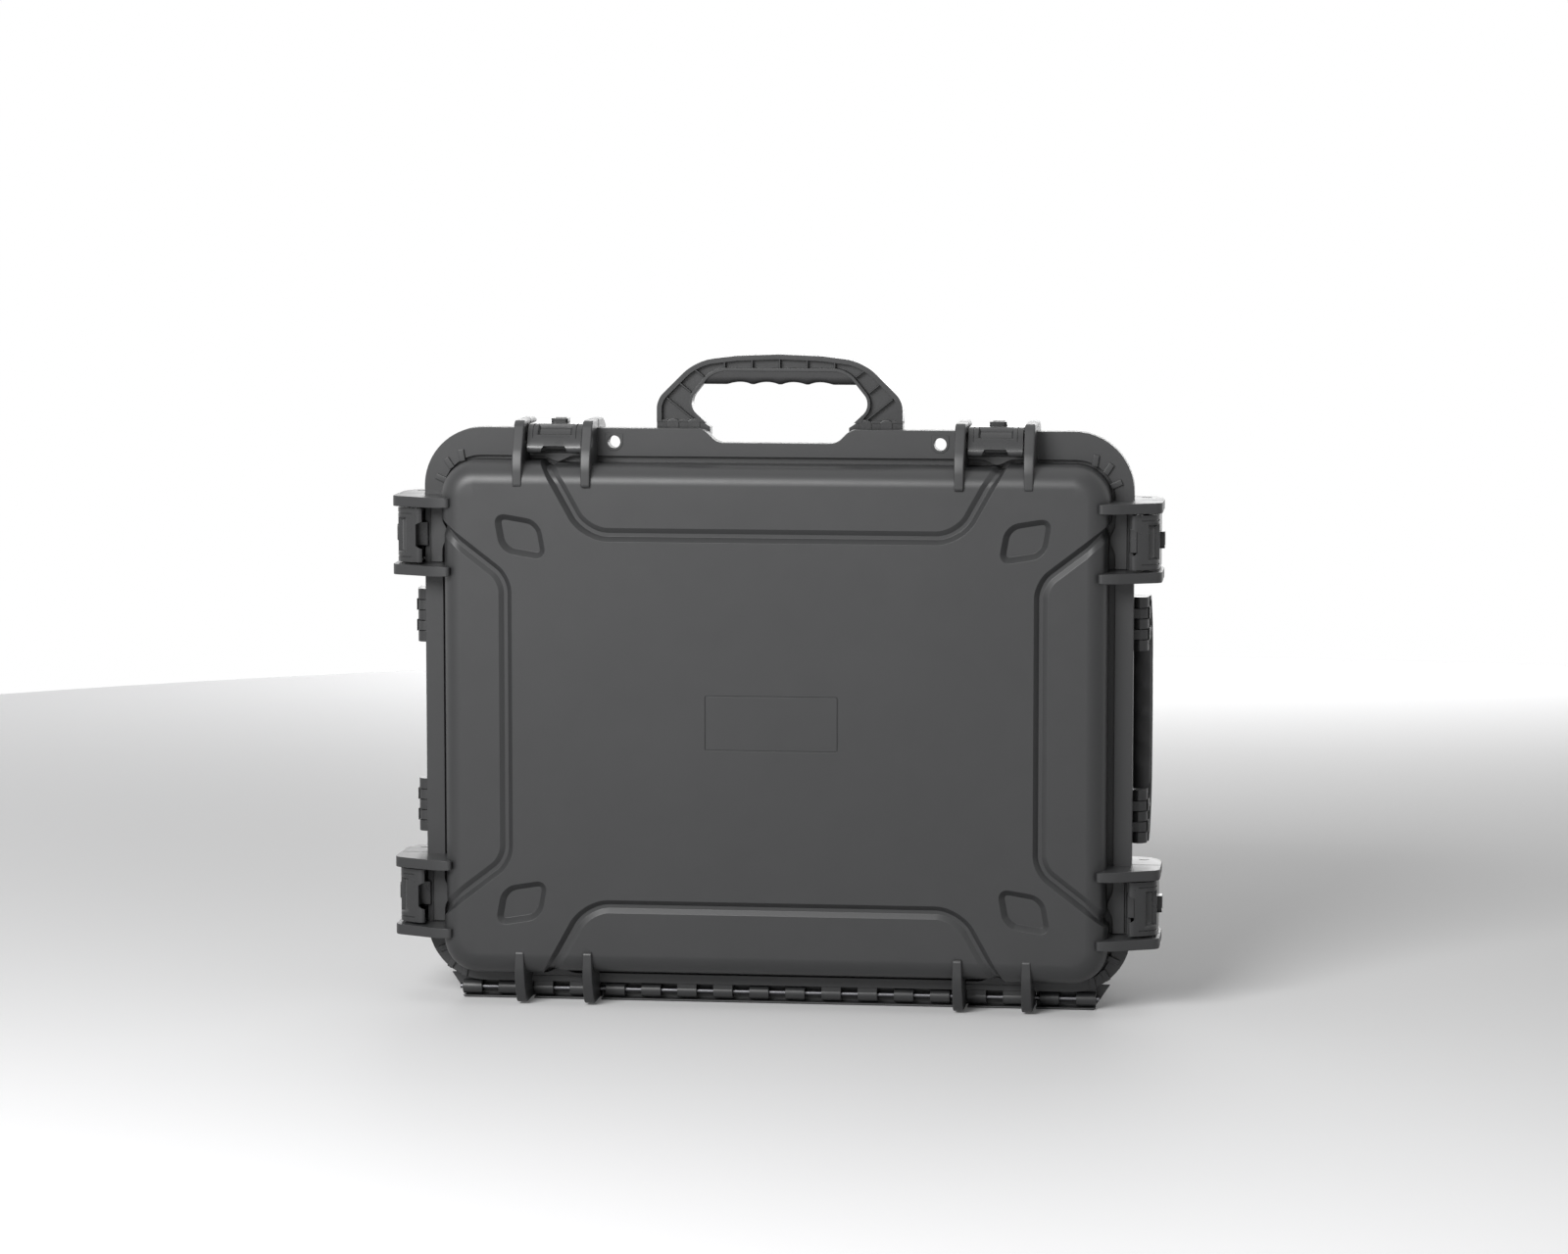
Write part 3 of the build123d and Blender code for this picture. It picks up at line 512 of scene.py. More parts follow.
def rimSectors(bm, inner, innerCorner, front):
    # three flat sectors that meet at the padlock holes and under the middle
    look = rimLook
    w, low, high = look["halfWidth"], look["low"], look["high"]
    holeX, holeZ, r = look["hole"]
    notchIn, notchOut, notchZ = look["notch"]
    cutTop, cutLow, cutDeep = look["handCut"]
    iw, ih = halfSize(inner)
    top, bottom = caseSize["middleZ"] + ih, caseSize["middleZ"] - ih
    known = {}

    def at(point):
        return vertAt(bm, known, point, lambda x, z: (x, front, z))

    half = [(cutLow, high - cutDeep), (cutTop, high), (holeX, high), (holeX, holeZ + r),
            (holeX - r, holeZ + r), (holeX - r, holeZ - r), (holeX, holeZ - r), (holeX, top)]
    side = [(holeX, high), (notchIn, high), (notchIn, notchZ), (notchOut, notchZ), (notchOut, high),
            (w, high), (w, low), (0, low), (0, bottom), (iw, bottom), (iw, top), (holeX, top),
            (holeX, holeZ - r), (holeX + r, holeZ - r), (holeX + r, holeZ + r), (holeX, holeZ + r)]
    for outline in (half + [(-x, z) for x, z in half[::-1]], side, [(-x, z) for x, z in side[::-1]]):
        bm.faces.new([at(p) for p in outline])
    corners = {
        (look["corner"], 18): [(w, low), (w, high)],
        (innerCorner, 10): [(iw, bottom), (iw, top)],
        (r - 0.001, 6): [(holeX + k * r, holeZ + j * r) for k, j in quarters],
        (look["cutRound"], 6): half[:2],
        (look["notchRound"], 3): [(notchIn, notchZ), (notchOut, notchZ)]}
    picked = [(tangent, steps, [at((s * x, z)) for x, z in points for s in (-1, 1)])
              for (tangent, steps), points in corners.items()]
    for tangent, steps, verts in picked:
        roundVerts(bm, verts, tangent, steps)
    bmesh.ops.remove_doubles(bm, verts=bm.verts[:], dist=0.02)


def rimRing(inner, innerCorner, front, back, seam=None):
    # edges at a seam stay sharp, because another ring goes on from there
    bm = bmesh.new()
    rimSectors(bm, inner, innerCorner, front)
    thicken(bm, (0, back - front, 0))
    soften(bm, rimLook["edge"], 3,
           test=lambda e: seam is None or any(abs(v.co.y - seam) > 0.01 for v in e.verts))
    return bm


def cornerNubs(bm, front, out):
    # short ribs between the wall's corners and the rim
    look = rimLook
    width, length, lift = look["nubSize"]
    cx, cz = halfSize(caseSize["corner"])
    for reach, place, lean in look["nubs"]:
        bit = roundedBox((width, lift + 2, length), (0, 0, 1.0 - length / 2), 0.5)
        x, z = reach * math.cos(math.radians(place)), reach * math.sin(math.radians(place))
        spot = (Matrix.Translation((x, front + out * (lift / 2 - 1), z))
                @ Matrix.Rotation(math.radians(lean), 4, "Y"))
        for sx, sz in quarters:
            put = Matrix.Translation((sx * cx, 0, caseSize["middleZ"] + sz * cz))
            add(bm, bit, put @ Matrix.Diagonal((sx, 1, sz, 1)) @ spot, free=False)
        bit.free()


bossLook = {"clear": 0.05, "wall": 2.1, "square": 1.36, "height": 1.2, "middle": 0.45, "edge": 0.25}


def padlockBosses(bm, front, out):
    look = bossLook
    holeX, holeZ, r = rimLook["hole"]
    wide = r + look["wall"]
    for side in (-1, 1):
        boss = flatRing(r + look["clear"], wide, 24)
        for v in boss.verts:
            # the outer line is square above the hole and round below it
            way = v.co.xy.normalized()
            if v.co.length > r + 1:
                reach = wide / max(abs(way.x), abs(way.y)) if way.y > 0 else wide
                v.co.xy = way * min(reach, wide * look["square"])
        thicken(boss, (0, 0, look["height"]))
        soften(boss, look["edge"], 1, 40)
        spot = (Matrix.Translation((side * holeX, front + out * look["middle"], holeZ))
                @ Matrix.Rotation(math.radians(-90 * out), 4, "X")
                @ Matrix.Translation((0, 0, -look["height"])))
        add(bm, boss, spot @ Matrix.Diagonal((1, -out, 1, 1)))


hingeLook = {"length": 500.0, "groups": 9, "share": 0.27, "axis": 8.0, "radius": 5.6, "rodHole": 2.05,
             "lidWeb": -5.1, "baseWeb": 6.4, "webHeight": 9.0, "webMiddle": 5.2, "edge": 0.5}


def addKnuckles(bm, forLid):
    # barrels with their webs, bored for the rod
    look = hingeLook
    pitch = look["length"] / look["groups"]
    length = pitch * look["share"]
    y0, y1 = ((-rimLook["parting"], look["lidWeb"]) if forLid
              else (rimLook["parting"], look["baseWeb"]))
    knuckle = flatRing(look["rodHole"], look["radius"], 24)
    bmesh.ops.transform(knuckle, matrix=Matrix.Rotation(math.radians(90), 4, "Y"), verts=knuckle.verts)
    bmesh.ops.translate(knuckle, vec=(-length / 2, 0, 0), verts=knuckle.verts)
    thicken(knuckle, (length, 0, 0))
    soften(knuckle, look["edge"], 2, 50)
    add(knuckle, roundedBox((length, abs(y1 - y0), look["webHeight"]),
                            (0, (y0 + y1) / 2, look["webMiddle"]), look["edge"]))
    # the lid's and the base's groups of two take turns
    for group in range(1 if forLid else 0, look["groups"], 2):
        middle = (group + 0.5) * pitch - look["length"] / 2
        for side in (-1, 1):
            add(bm, knuckle, Matrix.Translation((middle + side * pitch / 4, 0, look["axis"])),
                free=False)
    knuckle.free()


seam = -rimLook["thick"] + rimLook["channelDeep"]
lidRimMesh = rimRing(-rimLook["channel"], rimLook["channelCorner"], -rimLook["thick"], seam, seam)
add(lidRimMesh, rimRing(rimLook["seat"], caseSize["corner"] - rimLook["seat"], seam,
                        -rimLook["parting"], seam))
cornerNubs(lidRimMesh, -rimLook["thick"], -1)
padlockBosses(lidRimMesh, -rimLook["thick"], -1)
addKnuckles(lidRimMesh, True)
lidRim = finishPiece("lidRim", lidRimMesh, "lid", shellPlastic, ["lid_rim"])
print("lid rim:", len(lidRim.data.polygons), "faces")


earLook = {"thick": 8.2, "pitch": 52.1, "frontKeep": 0.93, "edge": 1.1, "lean": 0.47, "face": -42.0,
           "under": ((-0.3, -4), (-33, -4.5), (-36.5, -6.5)), "tipBack": -37.0, "tipThins": 0.12,
           "tipFrom": -30.0, "draftFrom": -6.0,
           "reachAndTip": {"top": (30.6, 19.5), "side": (38.5, 8.5), "foot": (22.5, 19.5)}}


def frameAt(x, z, turn=0.0):
    return Matrix.Translation((x, 0, z)) @ Matrix.Rotation(math.radians(turn), 4, "Y")


# local frames: x along the rim, y into the case, z outwards from the wall
latchFrames = {"top_left": (frameAt(-167, 416), 10.0), "top_right": (frameAt(167, 416), 10.0),
               "left_upper": (frameAt(-253.5, 358.5, -90), 16.5),
               "left_lower": (frameAt(-253.5, 81.5, -90), 16.5),
               "right_upper": (frameAt(253.5, 358.5, 90), 16.5),
               "right_lower": (frameAt(253.5, 81.5, 90), 16.5)}
footPlace = 167.0
footFrames = [frameAt(side * footPlace, 24, 180) for side in (-1, 1)]


def placeOf(key):
    return "top" if key.startswith("top") else "side"


def addPair(target, piece, place):
    # one piece to each side of the middle
    for side in (-1, 1):
        add(target, piece, place @ Matrix.Translation((side * earLook["pitch"] / 2, 0, 0)), free=False)
    piece.free()


def narrow(bm, y0, y1, keep):
    # draft: width falls to keep from y1 to y0
    for v in bm.verts:
        share = min(max((v.co.y - y0) / (y1 - y0), 0.0), 1.0)
        v.co.x *= keep + (1 - keep) * share


def lidEar(reach, tip):
    look = earLook
    face, back = look["face"], look["under"][0][0]
    outline = [(face, -tip), (face, 2), (face + look["lean"] * reach, reach), (back, reach),
               *look["under"], (look["tipBack"], 0.5 - tip)]
    ear = profileBlock(outline, look["thick"], rounds=(([0], 3.0), ([1], 9.0), ([2], 5.0)),
                       edge=look["edge"], segments=3)
    narrow(ear, face, look["draftFrom"], look["frontKeep"])
    # the tip thins out over the lid
    for v in ear.verts:
        if v.co.z < 0 and v.co.y < look["tipFrom"]:
            v.co.x *= 1 - look["tipThins"] * min(-v.co.z / tip, 1.0)
    return ear


lidEarsMesh = bmesh.new()
for kind, place in ([(placeOf(key), place) for key, (place, catch) in latchFrames.items()]
                    + [("foot", place) for place in footFrames]):
    addPair(lidEarsMesh, lidEar(*earLook["reachAndTip"][kind]), place)
lidEars = finishPiece("lidEars", lidEarsMesh, "lid", shellPlastic, ["lid_ears"])
print("lid ears:", len(lidEars.data.polygons), "faces")


catchLook = {"gap": 43.7, "play": 0.2, "thick": 2.5, "low": 2.7, "drop": 5.0, "edge": 0.45,
             "bend": ((12.0, 2.6), (9.5, 2.1), (7.0, 1.0), (5.0, 0.0), (3.0, -0.9), (1.2, -1.4),
                      (0.0, -1.5)),
             "rail": (2.2, 1.0, -0.1, -4.2), "railEdge": 0.3, "footHeight": 10.0}


def catchStrip(height):
    # raised strip whose lower line dips in the middle, and the rail that the claw holds
    look = catchLook
    half, top = look["gap"] / 2 - look["play"], height - look["drop"]
    bm = bmesh.new()
    points = [(-half, top), (half, top), (half, look["low"]), *look["bend"],
              *((-x, z) for x, z in look["bend"][-2::-1]), (-half, look["low"])]
    flatFace(bm, [(x, -rimLook["thick"] - look["thick"], z) for x, z in points])
    thicken(bm, (0, look["thick"] + 1.0, 0))
    soften(bm, look["edge"], 2, 40)
    deep, tall, y, z = look["rail"]
    add(bm, roundedBox((2 * half, deep, tall), (0, y - rimLook["thick"], height + z), look["railEdge"]))
    return bm


catchMesh = bmesh.new()
for place, height in list(latchFrames.values()) + [(p, catchLook["footHeight"]) for p in footFrames]:
    add(catchMesh, catchStrip(height), place)
finishPiece("lidCatches", catchMesh, "lid", shellPlastic, ["lid_catches"])


leverLook = {"wall": 2.0, "edge": 0.55, "columns": (6.8, 8.7, 13.75, 16.05, 16.95, 20.5),
             "profile": ((-25.9, -3.4), (-26.8, -2.2), (-27.2, -0.6), (-26.7, 1.4), (-25.3, 4.6),
                         (-23.9, 7.2), (-22.9, 9.2), (-21.6, 11.6), (-20.1, 13.7), (-18.1, 15.5),
                         (-15.4, 16.8), (-12.0, 17.4), (-9.4, 17.4), (-0.3, 17.4), (15.3, 17.4),
                         (28.0, 17.4)),
             "back": (28.0, 8.0, 9.4), "backTurn": (30, 60, 90, 120, 150, 180),
             "underside": ((16.0, 1.0), (-14.0, 1.0)), "front": -24.0,
             "hook": (7.9, 2.4, 1.4, 4.8), "hookCurve": 0.6, "hookTop": 1.0,
             "buttonGap": (0.0, 15.0), "roof": 17.0,
             "fingerArea": (9.4, -12.2), "window": ((0.7, -0.35), (1.3, -2.3), (0.5, -0.3)),
             "grooveArea": (7.1, -9.6), "groove": (0.12, -0.9),
             "bossPlace": 17.6, "bossLength": 2.4, "bosses": ((4.2, 28.0, 8.0, 20), (3.0, -8.5, 12.0, 18)),
             # the side latches stand a little prouder
             "lift": {"top": 0.0, "side": 2.2}}


def leverMesh(lift):
    # sheet bent along the profile, cut and inset while flat, then given its wall
    look = leverLook
    y0, z0, r = look["back"]
    profile = [(y, z + lift) for y, z in look["profile"]]
    profile += [(y0 + (r + lift) * math.sin(math.radians(a)), z0 + (r + lift) * math.cos(math.radians(a)))
                for a in look["backTurn"]]
    inside, hookSide, windowSide, grooveIn, grooveOut, end = look["columns"]
    columns = [-x for x in look["columns"][::-1]] + list(look["columns"])
    bm = bmesh.new()
    row = [bm.verts.new((-end, y, z)) for y, z in profile]
    strip = [bm.edges.new(pair) for pair in zip(row, row[1:])]
    for x0, x1 in zip(columns, columns[1:]):
        made = bmesh.ops.extrude_edge_only(bm, edges=strip)
        bmesh.ops.translate(bm, verts=newVerts(made), vec=(x1 - x0, 0, 0))
        strip = [g for g in made["geom"] if isinstance(g, bmesh.types.BMEdge)
                 and all(abs(v.co.x - x1) < 1e-4 for v in g.verts)]

    def pick(test):
        return [f for f in bm.faces if test(*f.calc_center_bounds())]

    # the hook's cut-out at the lower front edge, which widens downwards
    bmesh.ops.delete(bm, context="FACES", geom=pick(
        lambda x, y, z: abs(x) < hookSide and z - lift < look["hookTop"] and y < look["front"]))
    half, spread, top, deep = look["hook"]
    for v in bm.verts:
        drop = top + lift + 0.1 - v.co.z
        if abs(abs(v.co.x) - hookSide) < 1e-3 and v.co.y < look["front"] and drop > 0:
            v.co.x = math.copysign(half + spread * (drop / deep) ** look["hookCurve"], v.co.x)
    # opening for the button
    start, stop = look["buttonGap"]
    bmesh.ops.delete(bm, context="FACES", geom=pick(
        lambda x, y, z: abs(x) < inside and start < y < stop and z - lift > look["roof"]))
    # cheeks
    for x in (-end, end):
        ring = [v for v in bm.verts if abs(v.co.x - x) < 1e-4]
        ring.sort(key=lambda v: profile.index(min(profile, key=lambda p: abs(p[0] - v.co.y)
                                                  + abs(p[1] - v.co.z))))
        bm.faces.new(ring + [bm.verts.new((x, *point)) for point in look["underside"]])
    bmesh.ops.recalc_face_normals(bm, faces=bm.faces[:])
    roof = next(f for f in bm.faces if abs(f.normal.z) > 0.9
                and f.calc_center_bounds().z - lift > look["roof"])
    if roof.normal.z < 0:
        bmesh.ops.reverse_faces(bm, faces=bm.faces[:])
    # recessed finger window and the thin grooves beside it
    low, back = look["fingerArea"]
    window = pick(lambda x, y, z: abs(x) < windowSide and z - lift > low and y < back)
    for thickness, depth in look["window"]:
        insetFaces(bm, window, thickness, depth)
    grooveLow, grooveBack = look["grooveArea"]
    for side in (-1, 1):
        insetFaces(bm, pick(lambda x, y, z: grooveIn < side * x < grooveOut and z > grooveLow
                            and y < grooveBack), *look["groove"])
    bmesh.ops.solidify(bm, geom=bm.faces[:], thickness=look["wall"])
    bmesh.ops.recalc_face_normals(bm, faces=bm.faces[:])
    soften(bm, look["edge"], 2, 32.0)
    # bosses for the two pins inside the cheeks
    for side in (-1, 1):
        for radius, y, z, sides in look["bosses"]:
            add(bm, barrel(radius, look["bossLength"], (side * look["bossPlace"], y, z), 0.3, sides))
    return bm


clawLook = {"width": 18.0, "hub": 3.2, "axis": (-8.5, 12.0), "edge": 0.5,
            "arm": ((-11.7, 12.0), (-11.2, 4.0), (-10.4, -1.0), (-9.9, -3.0), (-8.0, -3.0), (-6.7, -2.4),
                    (-6.7, -0.2), (-7.6, 0.9), (-7.9, 4.0), (-6.2, 9.0), (-5.6, 12.0))}


def clawMesh():
    look = clawLook
    bm = profileBlock(look["arm"], look["width"], edge=look["edge"])
    add(bm, barrel(look["hub"], look["width"], (0, *look["axis"]), look["edge"], 24))
    return bm


buttonLook = {"width": 12.7, "length": 14.7, "place": 7.5, "low": 14.2, "high": 20.6, "edge": 0.3,
              "corner": 2.0, "dish": 1.6, "dishSlope": 0.5, "dishDepth": 0.55,
              "ridge": (7.0, 0.9, 0.7), "ridgePitch": 3.0, "ridgeSunk": 0.45, "ridgeEdge": 0.25}


def buttonMesh(lift):
    look = buttonLook
    bm = bmesh.new()
    bmesh.ops.create_cube(bm, size=1.0)
    bmesh.ops.scale(bm, vec=(look["width"], look["length"], look["high"] - look["low"]), verts=bm.verts)
    bmesh.ops.translate(bm, vec=(0, look["place"], (look["high"] + look["low"]) / 2), verts=bm.verts)
    upright = [e for e in bm.edges if abs(e.verts[0].co.z - e.verts[1].co.z) > 1]
    bmesh.ops.bevel(bm, geom=upright, offset=look["corner"], offset_type="OFFSET", segments=4,
                    profile=0.5, affect="EDGES", material=-1)
    top = [f for f in bm.faces if f.normal.z > 0.9]
    insetFaces(bm, top, look["dish"], 0)
    insetFaces(bm, top, look["dishSlope"], -look["dishDepth"])
    soften(bm, look["edge"], 2, 30)
    # three low ridges for the fingertip
    for k in (-1, 0, 1):
        spot = (0, look["place"] + look["ridgePitch"] * k, look["high"] - look["ridgeSunk"])
        add(bm, roundedBox(look["ridge"], spot, look["ridgeEdge"]))
    bmesh.ops.translate(bm, vec=(0, 0, lift), verts=bm.verts)
    return bm


for key, (place, catch) in latchFrames.items():
    put = place @ Matrix.Translation((0, 0, catch))
    lift = leverLook["lift"][placeOf(key)]
    for kind, mesh, material, slot in (
            ("lever", leverMesh(lift), latchPlastic, "latch_plastic"),
            ("claw", clawMesh(), latchPlastic, "latch_plastic"),
            ("button", buttonMesh(lift), buttonPlastic, "button_plastic")):
        bm = bmesh.new()
        add(bm, mesh, put)
        name = "latch_" + key + "_" + kind
        finishPiece(name + "_form", bm, name, material, [name])
print("latches done")


sealLook = {"width": 5.0, "depth": 4.0, "shelf": 2.4, "shelfReach": (-3.5, 2.0)}

baseSkin = shellSkin(caseSize["baseDepth"], skinLook["basePadLift"], sealLook["depth"])
closeInside(baseSkin, caseSize["baseDepth"],
            ((-sealLook["depth"], sealLook["width"] / 2), (0.0, sealLook["width"] / 2)))
bmesh.ops.translate(baseSkin, vec=(0, 0, caseSize["middleZ"]), verts=baseSkin.verts)
baseMesh = bmesh.new()
add(baseMesh, baseSkin, Matrix.Diagonal((1, -1, 1, 1)))
baseCover = finishPiece("baseCover", baseMesh, "base", shellPlastic, ["base_shell"])
print("base cover:", len(baseCover.data.polygons), "faces")


apronLook = {"half": 254.0, "taper": 12.0, "slant": 1.5, "top": 18.0, "low": 0.05, "front": 6.2, "back": 8.2,
             "lip": (-4.6, 7.0, 1.6), "gap": 10.0, "edge": 0.4}


def addApron(bm):
    # plate behind the barrels with a lip under them, cut away round the feet
    look = apronLook
    cuts = [s * footPlace + k * earLook["pitch"] / 2 for s in (-1, 1) for k in (-1, 1)]
    ends = sorted([-look["half"], look["half"]]
                  + [c + k * look["gap"] / 2 for c in cuts for k in (-1, 1)])
    lipFront, lipBack, lipTop = look["lip"]
    for x0, x1 in zip(ends[::2], ends[1::2]):
        first, last = x0 == ends[0], x1 == ends[-1]
        low0, low1 = x0 + look["taper"] * first, x1 - look["taper"] * last
        lip0, lip1 = low0 - look["slant"] * first, low1 + look["slant"] * last
        for y0, y1, top, top0, top1 in ((look["front"], look["back"], look["top"], x0, x1),
                                        (lipFront, lipBack, lipTop, lip0, lip1)):
            plate = bmesh.new()
            flatFace(plate, [(top0, y0, top), (top1, y0, top), (low1, y0, look["low"]),
                             (low0, y0, look["low"])])
            thicken(plate, (0, y1 - y0, 0))
            soften(plate, look["edge"])
            add(bm, plate)


baseRimMesh = rimRing(-sealLook["width"] / 2, caseSize["corner"] + sealLook["width"] / 2, 0.0,
                      rimLook["thick"])
# shelf under the seal's groove
shelf = bmesh.new()
for inset in sealLook["shelfReach"]:
    loop = bmesh.new()
    ringOf(loop, inset, sealLook["depth"], 10, onlyLoop=True)
    add(shelf, loop)
bmesh.ops.bridge_loops(shelf, edges=shelf.edges[:])
thicken(shelf, (0, sealLook["shelf"] - 0.1, 0))
add(baseRimMesh, shelf)
cornerNubs(baseRimMesh, rimLook["thick"], 1)
padlockBosses(baseRimMesh, rimLook["thick"], 1)
addKnuckles(baseRimMesh, False)
addApron(baseRimMesh)
baseRim = finishPiece("baseRim", baseRimMesh, "base", shellPlastic, ["base_rim"])
print("base rim:", len(baseRim.data.polygons), "faces")


baseEarLook = {"edge": 1.1, "pin": (28.0, 8.0, 2.9), "pinRing": 1.1, "pinStands": 0.5, "ringEdge": 0.35,
               "outline": ((24, 0), (37, -6), (42, -16)), "root": (46, -4),
               "rearFoot": ((87.0, -4), (93.0, 24), (127.0, 24), (131.0, -4)),
               "nearFoot": ((5, -4), (5, 5.5), (6.8, 6), (9.0, 8), (10.5, 10), (11.8, 13), (12.1, 16),
                            (11.4, 20), (9.1, 24), (24, 24), (37, 18), (42, 8), (46, -4))}


def baseEar(reach, catch):
    look = baseEarLook
    outline = [(0.0, -4), (0.0, reach), *((y, reach + z) for y, z in look["outline"]), look["root"]]
    ear = profileBlock(outline, earLook["thick"], rounds=(([1], 1.5), ([2, 3, 4], 5.0)),
                       edge=look["edge"], segments=3)
    # shallow ring round the pivot's end
    y, z, r = look["pin"]
    add(ear, barrel(r + look["pinRing"], earLook["thick"] + look["pinStands"], (0, y, catch + z),
                    look["ringEdge"], 24))
    return ear


baseEarsMesh = bmesh.new()
for key, (place, catch) in latchFrames.items():
    addPair(baseEarsMesh, baseEar(earLook["reachAndTip"][placeOf(key)][0], catch), place)
finishPiece("baseEars", baseEarsMesh, "base", shellPlastic, ["base_ears"])

feetMesh = bmesh.new()
for place in footFrames:
    addPair(feetMesh, profileBlock(baseEarLook["rearFoot"], earLook["thick"],
                                   rounds=(([1, 2], 4.0),), edge=1.0, segments=3), place)
    addPair(feetMesh, profileBlock(baseEarLook["nearFoot"], earLook["thick"],
                                   rounds=(([10, 11], 5.0),), edge=0.8), place)
finishPiece("baseFeet", feetMesh, "base", shellPlastic, ["base_feet"])
print("base ears and feet done")


handleLook = {"axisY": 19.0, "barrel": 6.5, "depth": 7.5, "rims": (3.8, 2.3, 0.3), "pocket": (0.35, -5.4),
              "edge": 1.5, "smallEdge": 0.5, "footTop": 7.4, "bowLow": 8.0, "opening": (70.0, 47.0),
              "footEdges": (7.7, 53.1, 93.0),
              "outside": ((93.9, -6.4), (93.9, 24.3), (64.0, 54.0), (32.5, 57.9), (0.0, 59.2)),
              "inside": ((0.0, 46.3), (50.5, 46.3), (71.0, 20.8), (53.0, 4.0), (53.0, -6.4)),
              "rounds": (((64.0, 54.0), 13.0, 8), ((93.9, 24.3), 6.5, 7), ((71.0, 20.8), 10.0, 8),
                         ((53.0, 4.0), 3.0, 4), ((50.5, 46.3), 9.0, 8)),
              "uprights": (0.0, 21.0, 42.0), "uprightEnds": (45.0, 56.2), "ribWidth": 1.3,
              "ribFaces": (1.8, 7.0),
              "slants": (((65.5, 47.7), (57.9, 41.9)), ((76.8, 37.2), (67.9, 29.9)),
                         ((86.3, 25.7), (66.0, 9.5))),
              "fingers": ((53.0, 61.15), (69.75, 77.15), (85.75, 93.9)), "fingerRoot": 9.0, "tail": 5.2,
              "slots": (65.45, 81.45), "cover": (8.8, 1.3, 7.45), "apron": (9.0, 6.8, 7.45, -1.5, 7.8),
              "hump": (6.9, 3.0, 6.9), "humpLow": 7.35,
              "knuckle": 7.4, "middle": 73.45, "step": 8.0, "bracketRoot": -23.5}


def handleFrameMesh():
    # front half of the bow from its outline, then mirrored
    look = handleLook
    bm = bmesh.new()
    right, inner = list(look["outside"]), list(look["inside"])
    outline = right + [(-x, z) for x, z in right[-2::-1] + inner[::-1]] + inner[1:]
    flatFace(bm, [(x, -look["depth"], z) for x, z in outline])
    for (x, z), tangent, steps in look["rounds"]:
        corners = {(round(v.co.x, 1), round(v.co.z, 1)): v for v in bm.verts}
        roundVerts(bm, [corners[(s * x, z)] for s in (-1, 1)], tangent, steps)
    # feet stay full, the bow above them is hollowed: first an even rim, then each of its corners
    # gets the width of its side
    cutAcross(bm, (0, 0, look["footTop"]), (0, 0, 1))
    bow = [f for f in bm.faces if f.calc_center_bounds().z > look["bowLow"]]
    before = set(bm.verts)
    outside, inside, foot = look["rims"]
    openX, openZ = look["opening"]
    evenRim = 3.0
    insetFaces(bm, bow, evenRim, 0)
    for v in [v for v in bm.verts if v not in before]:
        root = next(e.other_vert(v) for e in v.link_edges if e.other_vert(v) in before)
        wide = inside if abs(root.co.x) < openX and root.co.z < openZ else outside
        v.co = root.co + (v.co - root.co) * wide / evenRim
        if root.co.z < look["footTop"] + 0.1:
            v.co.z = root.co.z + foot
    insetFaces(bm, bow, *look["pocket"])
    for v in newVerts(bmesh.ops.extrude_edge_only(bm, edges=openEdges(bm))):
        v.co.y = 0.0
    add(bm, bm.copy(), Matrix.Diagonal((1, -1, 1, 1)))
    bmesh.ops.remove_doubles(bm, verts=bm.verts[:], dist=0.01)
    bmesh.ops.recalc_face_normals(bm, faces=bm.faces[:])

    low, near, far = look["footEdges"]

    def onFront(e):
        # round the flat front, leaving out the feet's lower edges
        return (min(abs(v.co.y) for v in e.verts) > look["depth"] - 0.1
                and all(v.co.z > low or not near <= abs(v.co.x) <= far for v in e.verts)
                and outerEdge(e))

    soften(bm, look["edge"], 3, 40, test=onFront)
    soften(bm, look["smallEdge"], 2, 40, test=lambda e: max(v.co.z for v in e.verts) > look["bowLow"])
    return bm


def outerEdge(edge):
    # edge between the flat front and the outside wall, not the hollow
    walls = [f for f in edge.link_faces if abs(f.normal.y) < 0.5]
    return any(min(abs(v.co.y) for v in f.verts) < 0.1 for f in walls)


def addBar(bm, start, end, width, y0, y1):
    a, b = Vector((start[0], 0, start[1])), Vector((end[0], 0, end[1]))
    way, middle = b - a, (a + b) / 2
    bar = roundedBox((way.length, abs(y1 - y0), width), (0, 0, 0), 0.3, 1)
    add(bm, bar, Matrix.Translation((middle.x, (y0 + y1) / 2, middle.z))
        @ Matrix.Rotation(-math.atan2(way.z, way.x), 4, "Y"))


def finger(width, radius, root):
    # D-shaped knuckle: round at the pivot, running up or down to its root
    tip = -math.copysign(radius, root)
    return profileBlock([(-radius, root), (radius, root), (radius, tip), (-radius, tip)], width,
                        rounds=(([2, 3], radius - 0.01),), edge=0.8, segments=2)


def slotCover(bm, x):
    # strip, front plate and hump over one knuckle slot
    look = handleLook
    radius, rise, depth = look["hump"]
    wide, thick, z = look["cover"]
    add(bm, roundedBox((wide, 2 * depth, thick), (x, 0, z), 0.3, 1))
    wide, y0, y1, z0, z1 = look["apron"]
    add(bm, roundedBox((wide, y1 - y0, z1 - z0), (x, -(y0 + y1) / 2, (z1 + z0) / 2), 0.2, 1))
    hump = barrel(radius, 2 * depth, (0, 0, 0))
    bmesh.ops.rotate(hump, matrix=Matrix.Rotation(math.radians(90), 3, "Z"), verts=hump.verts)
    bmesh.ops.translate(hump, vec=(x, 0, rise), verts=hump.verts)
    cutAcross(hump, (0, 0, look["humpLow"]), (0, 0, 1), clear=True)
    bmesh.ops.holes_fill(hump, edges=openEdges(hump), sides=0)
    add(bm, hump)


